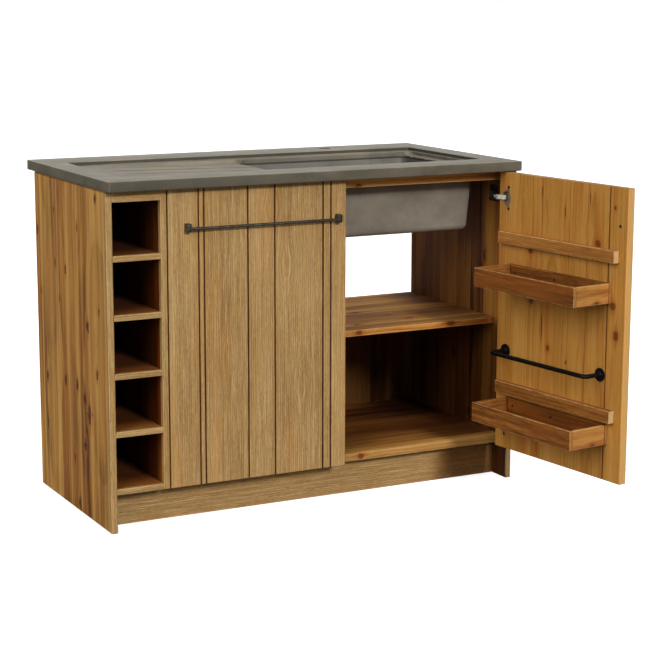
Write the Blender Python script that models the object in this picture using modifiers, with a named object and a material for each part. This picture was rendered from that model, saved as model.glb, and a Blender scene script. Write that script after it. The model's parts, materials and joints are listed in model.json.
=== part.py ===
"""Sink base cabinet: a wooden carcass with a bottle rack, two inset ledged doors and a stone sink top.

Metres, +Z up, +X to the right, +Y to the back. The origin is on the floor, under the middle of the plinth.
The right door stands open and the left door is shut.
"""
import math

import bmesh
import bpy

# Driving dimensions: the carcass
HEIGHT = 0.900
WIDTH = 1.200
CARCASS_DEPTH = 0.545
PANEL_THICK = 0.017
DIVIDER_THICK = 0.016
PLINTH_HEIGHT = 0.100
PLINTH_SETBACK = 0.071
PLINTH_THICK = 0.017
BOTTOM_THICK = 0.022
SHELF_THICK = 0.017
SHELF_TOP = 0.452
SHELF_SETBACK = 0.072
BACK_THICK = 0.008
TOP_RAIL_HEIGHT = 0.027
TOP_RAIL_DEPTH = 0.040
RACK_WIDTH = 0.128
RACK_CELLS = 5
RACK_SHELF_THICK = 0.015
RACK_RAIL_DEPTH = 0.018

# Driving dimensions: the sink top
WORKTOP_THICK = 0.027
FRONT_OVERHANG = 0.028
REAR_OVERHANG = 0.062
RIM_LEFT = 0.070
RIM_RIGHT = 0.070
RIM_FRONT = 0.105
RIM_BACK = 0.130
RECESS_DEPTH = 0.010
RECESS_COVE = 0.004
DRAINER_FALL = 0.009
DRAINER_MARGIN = 0.030
DRAINER_GROOVES = 4
GROOVE_WIDTH = 0.014
GROOVE_DEPTH = 0.003
BOWL_LENGTH = 0.540
BOWL_LEDGE = 0.035
BOWL_WALL = 0.028
BOWL_FLOOR = 0.020
BOWL_DEPTH = 0.199
BOWL_DRAFT = 0.016
BOWL_CORNER = 0.030
BOWL_OUTER_CORNER = 0.034
BOWL_FOOT_ROUND = 0.018
TAP_HOLE_RADIUS = 0.0175
TAP_FROM_BACK = 0.055
TAP_FROM_RIGHT = 0.310
TAP_NUT_ROOM = 0.031
DRAIN_RADIUS = 0.045

# Driving dimensions: the doors
DOOR_GAP = 0.0043
DOOR_THICK = 0.0235
DOOR_TOP_GAP = 0.002
DOOR_FOOT_GAP = 0.001
DOOR_BACK_GAP = 0.003
LEFT_BOARDS = (0.0977, 0.1221, 0.0764, 0.1400, 0.0683)
LEFT_KERFS = ((1, -0.0151), (4, 0.0230))
RIGHT_BOARDS = (0.1780, 0.1100, 0.0690, 0.0820, 0.0655)
RIGHT_KERFS = ()
TONGUE_LENGTH = 0.005
TONGUE_THICK = 0.007
VEE = 0.0022
KERF_WIDTH = 0.0024
KERF_DEPTH = 0.0030
LEDGE_HEIGHT = 0.033
LEDGE_THICK = 0.018
LEDGE_HINGE_INSET = 0.017
LEDGE_FREE_INSET = 0.0275
UPPER_LEDGE_FROM_TOP = 0.160
LOWER_LEDGE_FROM_FOOT = 0.1585

# Driving dimensions: what hangs on the doors
HANDLE_FROM_TOP = 0.101
HANDLE_HINGE_INSET = 0.0515
HANDLE_FREE_INSET = 0.026
HANDLE_BLOCK_WIDTH = 0.016
HANDLE_BLOCK_HEIGHT = 0.026
HANDLE_BLOCK_TAPER = 0.72
HANDLE_REACH = 0.018
HANDLE_BAR = 0.0080
HANDLE_BAR_SINK = 0.0007
TRAY_INSET = 0.055
TRAY_WIDTH = 0.400
TRAY_DEPTH = 0.130
TRAY_HEIGHT = 0.052
TRAY_WALL = 0.010
TRAY_BASE = 0.008
UPPER_TRAY_BELOW_LEDGE = 0.054
LOWER_TRAY_BELOW_LEDGE = 0.0085
TOWEL_RAIL_ABOVE_LEDGE = 0.0860
TOWEL_RAIL_HINGE_INSET = 0.040
TOWEL_RAIL_LENGTH = 0.381
TOWEL_RAIL_REACH = 0.055
TOWEL_RAIL_RADIUS = 0.006
TOWEL_RAIL_BEND = 0.014
TOWEL_FLANGE_RADIUS = 0.018
TOWEL_FLANGE_THICK = 0.005

# Driving dimensions: the concealed hinges; in plan, across from the panel's face and back from the shut
# door's inner face, but the door's axis is back from the front plane
OPEN_ANGLE = math.radians(97.0)
AXIS_ACROSS = 0.011
AXIS_BACK = 0.0
HINGE_FROM_END = 0.069
CUP_FROM_EDGE = 0.030
CUP_RADIUS = 0.0175
CUP_DEPTH = 0.011
CUP_WALL = 0.001
FLANGE_WIDTH = 0.026
FLANGE_HEIGHT = 0.066
FLANGE_THICK = 0.0012
ARM_WIDTH = 0.007
ARM_HEIGHT = 0.014
ARM_PIVOT = (0.039, -0.0025)
ARM_NECK = (0.039, 0.0105)
ARM_CRANK = (0.012, 0.0365)
ARM_TAIL = (0.0055, 0.0765)
PLATE_THICK = 0.003
PLATE_FRONT = 0.0405
PLATE_LENGTH = 0.042
PLATE_HEIGHT = 0.044
PIVOT_RADIUS = 0.0018
PIVOT_PLAY = 0.0004
LINK_WIDTH = 0.0034
LINK_HEIGHT = 0.0066
LINK_EYE_RADIUS = 0.0036
LINK_SLOT_PLAY = 0.0005
LINK_KNEE = (0.0037, -0.0200)
LINK_END = (-0.0082, -0.0430)
LINK_RATIO = 1.12

# Fits and edge finish
FIT = 0.0003
EASE = 0.0012
CUT_SPARE = 0.010
ROUND_STEPS = 6
FOOT_STEPS = 4
ROD_STEPS = 3
CYLINDER_STEPS = 32
SHARP_ANGLE = math.radians(40.0)
WELD = 0.00001

# Places worked out from the sizes above
FRONT_Y = -(PLINTH_SETBACK + PLINTH_THICK / 2)
BACK_Y = FRONT_Y + CARCASS_DEPTH
LEFT_X = -WIDTH / 2
RIGHT_X = WIDTH / 2
CARCASS_TOP = HEIGHT - WORKTOP_THICK
LEFT_PANEL_FACE = LEFT_X + PANEL_THICK
RIGHT_PANEL_FACE = RIGHT_X - PANEL_THICK
DIVIDER_LEFT = LEFT_PANEL_FACE + RACK_WIDTH
DIVIDER_FACE = DIVIDER_LEFT + DIVIDER_THICK
DOOR_WIDTH = (RIGHT_PANEL_FACE - DIVIDER_FACE - 3 * DOOR_GAP) / 2
DOOR_BOTTOM = PLINTH_HEIGHT + DOOR_FOOT_GAP
DOOR_TOP = CARCASS_TOP - DOOR_TOP_GAP
HANDLE_Z = DOOR_TOP - HANDLE_FROM_TOP
UPPER_LEDGE_Z = DOOR_TOP - UPPER_LEDGE_FROM_TOP - LEDGE_HEIGHT
LOWER_LEDGE_Z = DOOR_BOTTOM + LOWER_LEDGE_FROM_FOOT
UPPER_TRAY_Z = UPPER_LEDGE_Z - UPPER_TRAY_BELOW_LEDGE - TRAY_HEIGHT
LOWER_TRAY_Z = LOWER_LEDGE_Z - LOWER_TRAY_BELOW_LEDGE - TRAY_HEIGHT
TOWEL_RAIL_Z = LOWER_LEDGE_Z + LEDGE_HEIGHT + TOWEL_RAIL_ABOVE_LEDGE
BEHIND_DOOR_Y = FRONT_Y + DOOR_THICK + DOOR_BACK_GAP
WORKTOP_FRONT = FRONT_Y - FRONT_OVERHANG
WORKTOP_BACK = BACK_Y + REAR_OVERHANG
RECESS_X = (LEFT_X + RIM_LEFT, RIGHT_X - RIM_RIGHT)
RECESS_Y = (WORKTOP_FRONT + RIM_FRONT, WORKTOP_BACK - RIM_BACK)
BOWL_X = (RECESS_X[1] - BOWL_LEDGE - BOWL_LENGTH, RECESS_X[1] - BOWL_LEDGE)
BOWL_Y = (RECESS_Y[0] + BOWL_LEDGE, RECESS_Y[1] - BOWL_LEDGE)
BOWL_BOTTOM = HEIGHT - BOWL_DEPTH


def clear_scene():
    """Remove every object that is already in the file."""
    for obj in list(bpy.data.objects):
        bpy.data.objects.remove(obj, do_unlink=True)


def new_collection(name):
    """A collection in the scene for the parts or for the cutters."""
    collection = bpy.data.collections.new(name)
    bpy.context.scene.collection.children.link(collection)
    return collection


def finish(name, colour, roughness, metallic=0.0):
    """A Principled material from a colour, a roughness and a metallic value."""
    material = bpy.data.materials.new(name)
    material.use_nodes = True
    shader = material.node_tree.nodes["Principled BSDF"]
    shader.inputs["Base Color"].default_value = (*colour, 1.0)
    shader.inputs["Roughness"].default_value = roughness
    shader.inputs["Metallic"].default_value = metallic
    return material


clear_scene()
PARTS = new_collection("sink_base_cabinet")
CUTTERS = new_collection("cutters")
STAVE_WOOD = finish("stave_wood", (0.42, 0.23, 0.09), 0.55)
DOOR_OAK = finish("brushed_oak", (0.42, 0.27, 0.13), 0.60)
PINE = finish("orange_pine", (0.38, 0.18, 0.05), 0.50)
STONE = finish("grey_stone", (0.20, 0.18, 0.15), 0.70)
DARK_STEEL = finish("dark_steel", (0.04, 0.04, 0.04), 0.45, 0.9)
NICKEL = finish("nickel", (0.55, 0.53, 0.48), 0.30, 1.0)
BLACK = finish("black_paint", (0.01, 0.01, 0.01), 0.40)


def add_object(name, mesh, material, parent=None, location=(0.0, 0.0, 0.0)):
    """A part in the parts collection; under a parent its place is counted from the parent's axis."""
    obj = bpy.data.objects.new(name, mesh)
    PARTS.objects.link(obj)
    mesh.materials.append(material)
    obj.location = location
    if parent:
        obj.parent = parent
        obj.location = obj.location - parent.location
    return obj


def make_cutter(obj):
    """Turn an object into a hidden cutter."""
    PARTS.objects.unlink(obj)
    CUTTERS.objects.link(obj)
    obj.hide_render = True
    obj.display_type = "WIRE"
    return obj


def cut(obj, tool, operation="DIFFERENCE"):
    """Cut a tool out of an object, or join it on with UNION."""
    make_cutter(tool)
    modifier = obj.modifiers.new(tool.name, "BOOLEAN")
    modifier.operation = operation
    modifier.object = tool
    modifier.solver = "EXACT"


def ease_edges(obj, width):
    """Round the sharp edges of an object."""
    bevel = obj.modifiers.new("eased_edges", "BEVEL")
    bevel.width = width
    bevel.limit_method = "ANGLE"
    bevel.angle_limit = SHARP_ANGLE


def box(name, x, y, z, material, parent=None, ease=EASE):
    """A box between two values on each axis, with eased edges."""
    mesh = bpy.data.meshes.new(name)
    shape = bmesh.new()
    bmesh.ops.create_cube(shape, size=1.0)
    size = [abs(span[1] - span[0]) for span in (x, y, z)]
    bmesh.ops.scale(shape, vec=size, verts=shape.verts)
    shape.to_mesh(mesh)
    shape.free()
    centre = [(span[0] + span[1]) / 2 for span in (x, y, z)]
    obj = add_object(name, mesh, material, parent, centre)
    if ease:
        ease_edges(obj, ease)
    return obj


def cylinder(name, centre, radius, depth, material, parent=None, axis="Z"):
    """A round bar or disc about a centre, along Z, Y or X."""
    mesh = bpy.data.meshes.new(name)
    shape = bmesh.new()
    bmesh.ops.create_cone(shape, cap_ends=True, segments=CYLINDER_STEPS, radius1=radius, radius2=radius,
                          depth=depth)
    shape.to_mesh(mesh)
    shape.free()
    mesh.shade_smooth()
    mesh.set_sharp_from_angle(angle=SHARP_ANGLE)
    obj = add_object(name, mesh, material, parent, centre)
    if axis == "Y":
        obj.rotation_euler.x = math.radians(90.0)
    if axis == "X":
        obj.rotation_euler.y = math.radians(90.0)
    return obj


def curve_to_mesh(curve_object, name):
    """The evaluated curve as a closed mesh; the curve is removed."""
    bpy.context.view_layer.update()
    evaluated = curve_object.evaluated_get(bpy.context.evaluated_depsgraph_get())
    mesh = bpy.data.meshes.new_from_object(evaluated)
    mesh.name = name
    shape = bmesh.new()
    shape.from_mesh(mesh)
    bmesh.ops.remove_doubles(shape, verts=shape.verts, dist=WELD)
    bmesh.ops.recalc_face_normals(shape, faces=shape.faces)
    shape.to_mesh(mesh)
    shape.free()
    mesh.materials.clear()
    bpy.data.objects.remove(curve_object, do_unlink=True)
    return mesh


def outline_solid(name, points, z, material, parent=None):
    """A flat outline in plan, extruded between two heights."""
    curve = bpy.data.curves.new(name, "CURVE")
    curve.dimensions = "2D"
    curve.fill_mode = "BOTH"
    curve.extrude = abs(z[1] - z[0]) / 2
    spline = curve.splines.new("POLY")
    spline.points.add(len(points) - 1)
    for point, (x, y) in zip(spline.points, points):
        point.co = (x, y, 0.0, 1.0)
    spline.use_cyclic_u = True
    holder = bpy.data.objects.new(name, curve)
    PARTS.objects.link(holder)
    mesh = curve_to_mesh(holder, name)
    return add_object(name, mesh, material, parent, (0.0, 0.0, (z[0] + z[1]) / 2))


def arc(centre, radius, start, end, steps):
    """Points along an arc, both ends included."""
    angles = [start + (end - start) * step / steps for step in range(steps + 1)]
    return [(centre[0] + radius * math.cos(a), centre[1] + radius * math.sin(a)) for a in angles]


def rounded_rectangle(x, y, radius):
    """The outline of a rectangle with round corners."""
    quarter = math.pi / 2
    corners = ((x[1] - radius, y[1] - radius), (x[0] + radius, y[1] - radius),
               (x[0] + radius, y[0] + radius), (x[1] - radius, y[0] + radius))
    points = []
    for turn, corner in enumerate(corners):
        points += arc(corner, radius, turn * quarter, (turn + 1) * quarter, ROUND_STEPS)
    return points


def strip(path, width):
    """The outline of a bent strip of one width along a path, with mitred bends."""
    sides = ([], [])
    for index, (x, y) in enumerate(path):
        before = path[max(index - 1, 0)]
        after = path[min(index + 1, len(path) - 1)]
        into = math.atan2(y - before[1], x - before[0]) if index else None
        out = math.atan2(after[1] - y, after[0] - x) if index < len(path) - 1 else None
        heading = out if into is None else into if out is None else math.atan2(
            math.sin(into) + math.sin(out), math.cos(into) + math.cos(out))
        half = width / 2 / math.cos(heading - (out if into is None else into))
        for side, turn in zip(sides, (1, -1)):
            side.append((x - turn * half * math.sin(heading), y + turn * half * math.cos(heading)))
    return sides[0] + sides[1][::-1]


def empty(name, location, turn):
    """A parent empty that stands on a joint's axis."""
    obj = bpy.data.objects.new(name, None)
    PARTS.objects.link(obj)
    obj.location = location
    obj.rotation_euler.z = turn
    return obj


def carcass():
    """The panels, rails, shelves and plinth."""
    depth = (FRONT_Y, BACK_Y)
    inner_depth = (FRONT_Y, BACK_Y - BACK_THICK - FIT)
    full = (0.0, CARCASS_TOP)
    box("left_side_panel", (LEFT_X, LEFT_PANEL_FACE), depth, full, STAVE_WOOD)
    box("right_side_panel", (RIGHT_PANEL_FACE, RIGHT_X), depth, full, STAVE_WOOD)
    above_plinth = PLINTH_HEIGHT + FIT
    box("rack_divider", (DIVIDER_LEFT, DIVIDER_FACE), depth, (above_plinth, CARCASS_TOP), STAVE_WOOD)
    inside = (LEFT_PANEL_FACE + FIT, RIGHT_PANEL_FACE - FIT)
    plinth_y = (FRONT_Y + PLINTH_SETBACK, FRONT_Y + PLINTH_SETBACK + PLINTH_THICK)
    box("plinth", inside, plinth_y, (0.0, PLINTH_HEIGHT), DOOR_OAK)

    sink_side = (DIVIDER_FACE + FIT, RIGHT_PANEL_FACE - FIT)
    bottom_top = above_plinth + BOTTOM_THICK
    box("bottom_panel", sink_side, (BEHIND_DOOR_Y, BACK_Y), (above_plinth, bottom_top), STAVE_WOOD)
    shelf_bottom = SHELF_TOP - SHELF_THICK
    box("mid_shelf", sink_side, (FRONT_Y + SHELF_SETBACK, BACK_Y), (shelf_bottom, SHELF_TOP), STAVE_WOOD)
    box("lower_back_panel", sink_side, (BACK_Y - BACK_THICK, BACK_Y), (bottom_top + FIT, shelf_bottom - FIT),
        STAVE_WOOD)
    rail_z = (CARCASS_TOP - TOP_RAIL_HEIGHT, CARCASS_TOP)
    box("front_top_rail", sink_side, (BEHIND_DOOR_Y, BEHIND_DOOR_Y + TOP_RAIL_DEPTH), rail_z, PINE)
    rear_y = WORKTOP_BACK - TAP_FROM_BACK - TAP_NUT_ROOM
    box("rear_top_rail", sink_side, (rear_y - TOP_RAIL_DEPTH, rear_y), rail_z, STAVE_WOOD)

    rack = (LEFT_PANEL_FACE + FIT, DIVIDER_LEFT - FIT)
    box("rack_top_rail", rack, (FRONT_Y, FRONT_Y + RACK_RAIL_DEPTH), rail_z, DOOR_OAK)
    box("rack_back_panel", rack, (BACK_Y - BACK_THICK, BACK_Y), (above_plinth, CARCASS_TOP), STAVE_WOOD)
    cell = (rail_z[0] - PLINTH_HEIGHT) / RACK_CELLS
    for level in range(RACK_CELLS):
        low = above_plinth + level * cell
        name = f"rack_shelf_{RACK_CELLS - level}" if level else "rack_bottom_shelf"
        box(name, rack, inner_depth, (low, low + RACK_SHELF_THICK), DOOR_OAK)


def sloped_cutter(name, x, y, depth_left, depth_right):
    """A cutter from above the worktop whose floor falls from left to right."""
    obj = box(name, x, y, (HEIGHT - depth_right, HEIGHT + CUT_SPARE), STONE, ease=0.0)
    for vertex in obj.data.vertices:
        if vertex.co.z < 0.0 and vertex.co.x < 0.0:
            vertex.co.z += depth_right - depth_left
    return obj


def worktop():
    """The stone slab with its recess, falling drainer, bowl opening and tap hole."""
    slab_y = (WORKTOP_FRONT, WORKTOP_BACK)
    slab = box("worktop", (LEFT_X, RIGHT_X), slab_y, (CARCASS_TOP + FIT, HEIGHT), STONE)
    recess = box("recess_cutter", RECESS_X, RECESS_Y, (HEIGHT - RECESS_DEPTH, HEIGHT + CUT_SPARE), STONE,
                 ease=RECESS_COVE)
    cut(slab, recess)
    start = RECESS_X[0] + DRAINER_MARGIN
    drainer_y = (RECESS_Y[0] + DRAINER_MARGIN, RECESS_Y[1] - DRAINER_MARGIN)
    end = BOWL_X[0] + CUT_SPARE
    low = RECESS_DEPTH + DRAINER_FALL
    cut(slab, sloped_cutter("drainer_cutter", (start, end), drainer_y, RECESS_DEPTH, low))
    pitch = (drainer_y[1] - drainer_y[0]) / DRAINER_GROOVES
    for groove in range(DRAINER_GROOVES):
        middle = drainer_y[0] + (groove + 0.5) * pitch
        side = (middle - GROOVE_WIDTH / 2, middle + GROOVE_WIDTH / 2)
        cut(slab, sloped_cutter(f"groove_cutter_{groove + 1}", (start + DRAINER_MARGIN, end), side,
                                RECESS_DEPTH, low + GROOVE_DEPTH))
    through = (CARCASS_TOP - CUT_SPARE, HEIGHT + CUT_SPARE)
    opening = rounded_rectangle(BOWL_X, BOWL_Y, BOWL_CORNER)
    cut(slab, outline_solid("bowl_opening_cutter", opening, through, STONE))
    tap = (RIGHT_X - TAP_FROM_RIGHT, WORKTOP_BACK - TAP_FROM_BACK, HEIGHT)
    cut(slab, cylinder("tap_hole_cutter", tap, TAP_HOLE_RADIUS, 2 * WORKTOP_THICK + CUT_SPARE, STONE))


def tapered_solid(name, x, y, corner, z, draft, material):
    """A round-cornered block that narrows by the draft towards its foot, with a round foot edge."""
    obj = outline_solid(name, rounded_rectangle(x, y, corner), z, material)
    middle = ((x[0] + x[1]) / 2, (y[0] + y[1]) / 2)
    half = ((x[1] - x[0]) / 2, (y[1] - y[0]) / 2)
    mesh = obj.data
    for vertex in mesh.vertices:
        if vertex.co.z < 0.0:
            for axis in range(2):
                narrowing = 1.0 - draft / half[axis]
                vertex.co[axis] = middle[axis] + (vertex.co[axis] - middle[axis]) * narrowing
    weights = mesh.attributes.new("bevel_weight_edge", "FLOAT", "EDGE")
    for edge in mesh.edges:
        weights.data[edge.index].value = float(all(mesh.vertices[v].co.z < 0.0 for v in edge.vertices))
    bevel = obj.modifiers.new("round_foot", "BEVEL")
    bevel.limit_method = "WEIGHT"
    bevel.width = BOWL_FOOT_ROUND
    bevel.segments = FOOT_STEPS
    return obj


def sink_bowl():
    """The bowl, bonded under the worktop's opening, with its drain hole."""
    outer_x = (BOWL_X[0] - BOWL_WALL, BOWL_X[1] + BOWL_WALL)
    outer_y = (BOWL_Y[0] - BOWL_WALL, BOWL_Y[1] + BOWL_WALL)
    top = CARCASS_TOP
    bowl = tapered_solid("sink_bowl", outer_x, outer_y, BOWL_OUTER_CORNER, (BOWL_BOTTOM, top), BOWL_DRAFT, STONE)
    hollow_z = (BOWL_BOTTOM + BOWL_FLOOR, top + CUT_SPARE)
    cut(bowl, tapered_solid("bowl_cutter", BOWL_X, BOWL_Y, BOWL_CORNER, hollow_z, BOWL_DRAFT, STONE))
    middle = ((BOWL_X[0] + BOWL_X[1]) / 2, (BOWL_Y[0] + BOWL_Y[1]) / 2, BOWL_BOTTOM)
    cut(bowl, cylinder("drain_cutter", middle, DRAIN_RADIUS, 4 * BOWL_FLOOR, STONE))


class DoorSide:
    """One door's place: where its hinge face is, which way it runs and how far open it rests."""

    def __init__(self, name, face, run, opening):
        self.name = name
        self.face = face
        self.run = run
        self.opening = opening
        self.axis = self.plan(AXIS_ACROSS, AXIS_BACK)
        self.parent = empty(f"{name}_door_axis", (*self.axis, 0.0), -run * opening)

    def plan(self, across, back):
        """World x and y in the shut door's plan: across from the hinge face, back from the front."""
        return (self.face + self.run * across, FRONT_Y + back)

    def behind(self, across, back):
        """World x and y of a point across from the hinge face and back from the shut door's inner face."""
        return self.plan(across, DOOR_THICK + back)

    def along(self, start, end):
        """World x of two distances from the door's hinge edge."""
        return (self.plan(DOOR_GAP + start, 0.0)[0], self.plan(DOOR_GAP + end, 0.0)[0])

    def box(self, name, along, off_inner_face, z, material, ease=EASE):
        """A box on the inner face of the door, given along the door and off its face."""
        inner = FRONT_Y + DOOR_THICK
        y = (inner + off_inner_face[0], inner + off_inner_face[1])
        return box(f"{self.name}_{name}", self.along(*along), y, z, material, self.parent, ease)


def board_outline(start, end, first, last, kerfs):
    """A tongued and grooved board in plan, from the hinge edge and the outer face; joint edges are veed."""
    middle = DOOR_THICK / 2
    low, high = middle - TONGUE_THICK / 2, middle + TONGUE_THICK / 2
    reach, play = TONGUE_LENGTH, FIT
    points = [(start + VEE, 0.0)]
    for kerf in kerfs:
        if start < kerf < end:
            points += [(kerf - KERF_WIDTH / 2, 0.0), (kerf, KERF_DEPTH), (kerf + KERF_WIDTH / 2, 0.0)]
    points += [(end - VEE, 0.0), (end, VEE)]
    if not last:
        points += [(end, low), (end + reach, low), (end + reach, high), (end, high)]
    points += [(end, DOOR_THICK - VEE), (end - VEE, DOOR_THICK)]
    points += [(start + VEE, DOOR_THICK), (start, DOOR_THICK - VEE)]
    if not first:
        points += [(start, high + play), (start + reach + play, high + play),
                   (start + reach + play, low - play), (start, low - play)]
    points += [(start, VEE)]
    return points


def board_edges(widths):
    """Distances of the board edges from the hinge edge: the widths, ripped to fill the door."""
    share = DOOR_WIDTH / sum(widths)
    return [share * sum(widths[:count]) for count in range(len(widths) + 1)]


def door_boards(side, widths, joint_kerfs):
    """The vertical boards of a door, tongued together; the hinge board is bored for the cups."""
    edges = board_edges(widths)
    kerfs = [edges[joint] + offset for joint, offset in joint_kerfs]
    boards = []
    for number, (start, end) in enumerate(zip(edges, edges[1:]), 1):
        first, last = number == 1, number == len(edges) - 1
        inner_start = start if first else start + FIT
        outline = board_outline(inner_start, end, first, last, kerfs)
        points = [side.plan(DOOR_GAP + along, back) for along, back in outline]
        name = f"{side.name}_door_board_{number}"
        boards.append(outline_solid(name, points, (DOOR_BOTTOM, DOOR_TOP), DOOR_OAK, side.parent))
    for level, height in hinge_levels():
        centre = cup_centre(side, height, CUP_DEPTH / 2)
        name = f"{side.name}_{level}_cup_bore"
        bore = cylinder(name, centre, CUP_RADIUS + FIT, CUP_DEPTH + 2 * FIT, NICKEL, side.parent, axis="Y")
        cut(boards[0], bore)


def door_ledges(side):
    """The two ledges that hold the boards together."""
    along = (LEDGE_HINGE_INSET, DOOR_WIDTH - LEDGE_FREE_INSET)
    for level, low in (("upper", UPPER_LEDGE_Z), ("lower", LOWER_LEDGE_Z)):
        side.box(f"door_{level}_ledge", along, (FIT, LEDGE_THICK), (low, low + LEDGE_HEIGHT), PINE)


def handle_block(side, name, along):
    """A handle's end block: a square pyramid with its point cut off, broad on the door."""
    half = HANDLE_BLOCK_WIDTH / 2
    z = (HANDLE_Z - HANDLE_BLOCK_HEIGHT / 2, HANDLE_Z + HANDLE_BLOCK_HEIGHT / 2)
    y = (FRONT_Y - HANDLE_REACH, FRONT_Y - FIT)
    block = box(name, side.along(along - half, along + half), y, z, DARK_STEEL, side.parent, ease=0.0)
    for vertex in block.data.vertices:
        if vertex.co.y < 0.0:
            vertex.co.x *= HANDLE_BLOCK_TAPER
            vertex.co.z *= HANDLE_BLOCK_TAPER
    ease_edges(block, EASE)
    return block


def door_handle(side):
    """The forged handle: two end blocks and the bar between them, in one piece."""
    near, far = HANDLE_HINGE_INSET, DOOR_WIDTH - HANDLE_FREE_INSET
    handle = handle_block(side, f"{side.name}_door_handle", near)
    radius = HANDLE_BAR / 2
    middle = (sum(side.along(near, far)) / 2, FRONT_Y - HANDLE_REACH + HANDLE_BAR_SINK + radius, HANDLE_Z)
    bar = cylinder(f"{side.name}_handle_bar", middle, radius, far - near, DARK_STEEL, side.parent, axis="X")
    cut(handle, bar, "UNION")
    cut(handle, handle_block(side, f"{side.name}_handle_far_block", far), "UNION")


def door_tray(side, level, low):
    """A shallow tray of five boards, screwed to the door by its back."""
    start, end = TRAY_INSET, TRAY_INSET + TRAY_WIDTH
    z = (low, low + TRAY_HEIGHT)
    inner_along = (start + TRAY_WALL + FIT, end - TRAY_WALL - FIT)
    inner_depth = (TRAY_WALL + FIT, TRAY_DEPTH - TRAY_WALL - FIT)
    name = f"{level}_tray"
    side.box(f"{name}_back", (start, end), (FIT, TRAY_WALL), z, PINE)
    side.box(f"{name}_front", (start, end), (TRAY_DEPTH - TRAY_WALL, TRAY_DEPTH), z, PINE)
    side.box(f"{name}_hinge_end", (start, start + TRAY_WALL), inner_depth, z, PINE)
    side.box(f"{name}_free_end", (end - TRAY_WALL, end), inner_depth, z, PINE)
    side.box(f"{name}_base", inner_along, inner_depth, (low, low + TRAY_BASE), PINE)


def towel_rail(side):
    """The bent rod and its two wall flanges on the inner face of the door."""
    near = TOWEL_RAIL_HINGE_INSET
    far = near + TOWEL_RAIL_LENGTH
    foot = DOOR_THICK + TOWEL_FLANGE_THICK + 2 * FIT
    top = DOOR_THICK + TOWEL_RAIL_REACH
    bend = TOWEL_RAIL_BEND
    quarter = math.pi / 2
    path = [(near, foot)]
    path += arc((near + bend, top - bend), bend, 2 * quarter, quarter, ROUND_STEPS)
    path += arc((far - bend, top - bend), bend, quarter, 0.0, ROUND_STEPS)
    path += [(far, foot)]
    curve = bpy.data.curves.new("towel_rail", "CURVE")
    curve.dimensions = "3D"
    curve.bevel_depth = TOWEL_RAIL_RADIUS
    curve.bevel_resolution = ROD_STEPS
    curve.use_fill_caps = True
    spline = curve.splines.new("POLY")
    spline.points.add(len(path) - 1)
    for point, (along, back) in zip(spline.points, path):
        point.co = (*side.plan(DOOR_GAP + along, back), 0.0, 1.0)
    holder = bpy.data.objects.new("towel_rail", curve)
    PARTS.objects.link(holder)
    mesh = curve_to_mesh(holder, "towel_rail")
    mesh.shade_smooth()
    add_object("towel_rail_rod", mesh, BLACK, side.parent, (0.0, 0.0, TOWEL_RAIL_Z))
    for name, along in (("hinge", near), ("free", far)):
        thick = TOWEL_FLANGE_THICK
        centre = (*side.plan(DOOR_GAP + along, DOOR_THICK + FIT + thick / 2), TOWEL_RAIL_Z)
        flange = cylinder(f"towel_rail_{name}_flange", centre, TOWEL_FLANGE_RADIUS, thick, BLACK, side.parent,
                          axis="Y")
        ease_edges(flange, thick / 3)


def hinge_levels():
    """The two heights of a door's hinges."""
    return (("upper", DOOR_TOP - HINGE_FROM_END), ("lower", DOOR_BOTTOM + HINGE_FROM_END))


def cup_centre(side, height, depth):
    """A point on a cup's axis, at a depth into the door from its inner face."""
    return (*side.plan(DOOR_GAP + CUP_FROM_EDGE, DOOR_THICK - depth), height)


def hinge_cup(side, level, height):
    """The cup let into the door, with its screw flange."""
    name = f"{side.name}_hinge_{level}_cup"
    cup = cylinder(name, cup_centre(side, height, CUP_DEPTH / 2), CUP_RADIUS, CUP_DEPTH, NICKEL, side.parent,
                   axis="Y")
    middle = CUP_FROM_EDGE
    across = side.along(middle - FLANGE_WIDTH / 2, middle + FLANGE_WIDTH / 2)
    on_door = FRONT_Y + DOOR_THICK + FIT
    z = (height - FLANGE_HEIGHT / 2, height + FLANGE_HEIGHT / 2)
    rim_centre = cup_centre(side, height, -FIT - FLANGE_THICK / 2)
    rim_radius = CUP_RADIUS + CUP_WALL
    rim = cylinder(f"{name}_rim", rim_centre, rim_radius, FLANGE_THICK, NICKEL, side.parent, axis="Y")
    flange_y = (on_door, on_door + FLANGE_THICK)
    flange = box(f"{name}_flange", across, flange_y, z, NICKEL, side.parent, ease=0.0)
    neck_centre = cup_centre(side, height, 0.0)
    neck = cylinder(f"{name}_neck", neck_centre, CUP_RADIUS, 2 * FLANGE_THICK, NICKEL, side.parent, axis="Y")
    hollow = cylinder(f"{name}_hollow", cup_centre(side, height, -FLANGE_THICK), CUP_RADIUS - CUP_WALL,
                      2 * (CUP_DEPTH - CUP_WALL + FLANGE_THICK), NICKEL, side.parent, axis="Y")
    for joined in (neck, rim, flange):
        cut(cup, joined, "UNION")
    cut(cup, hollow)


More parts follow.
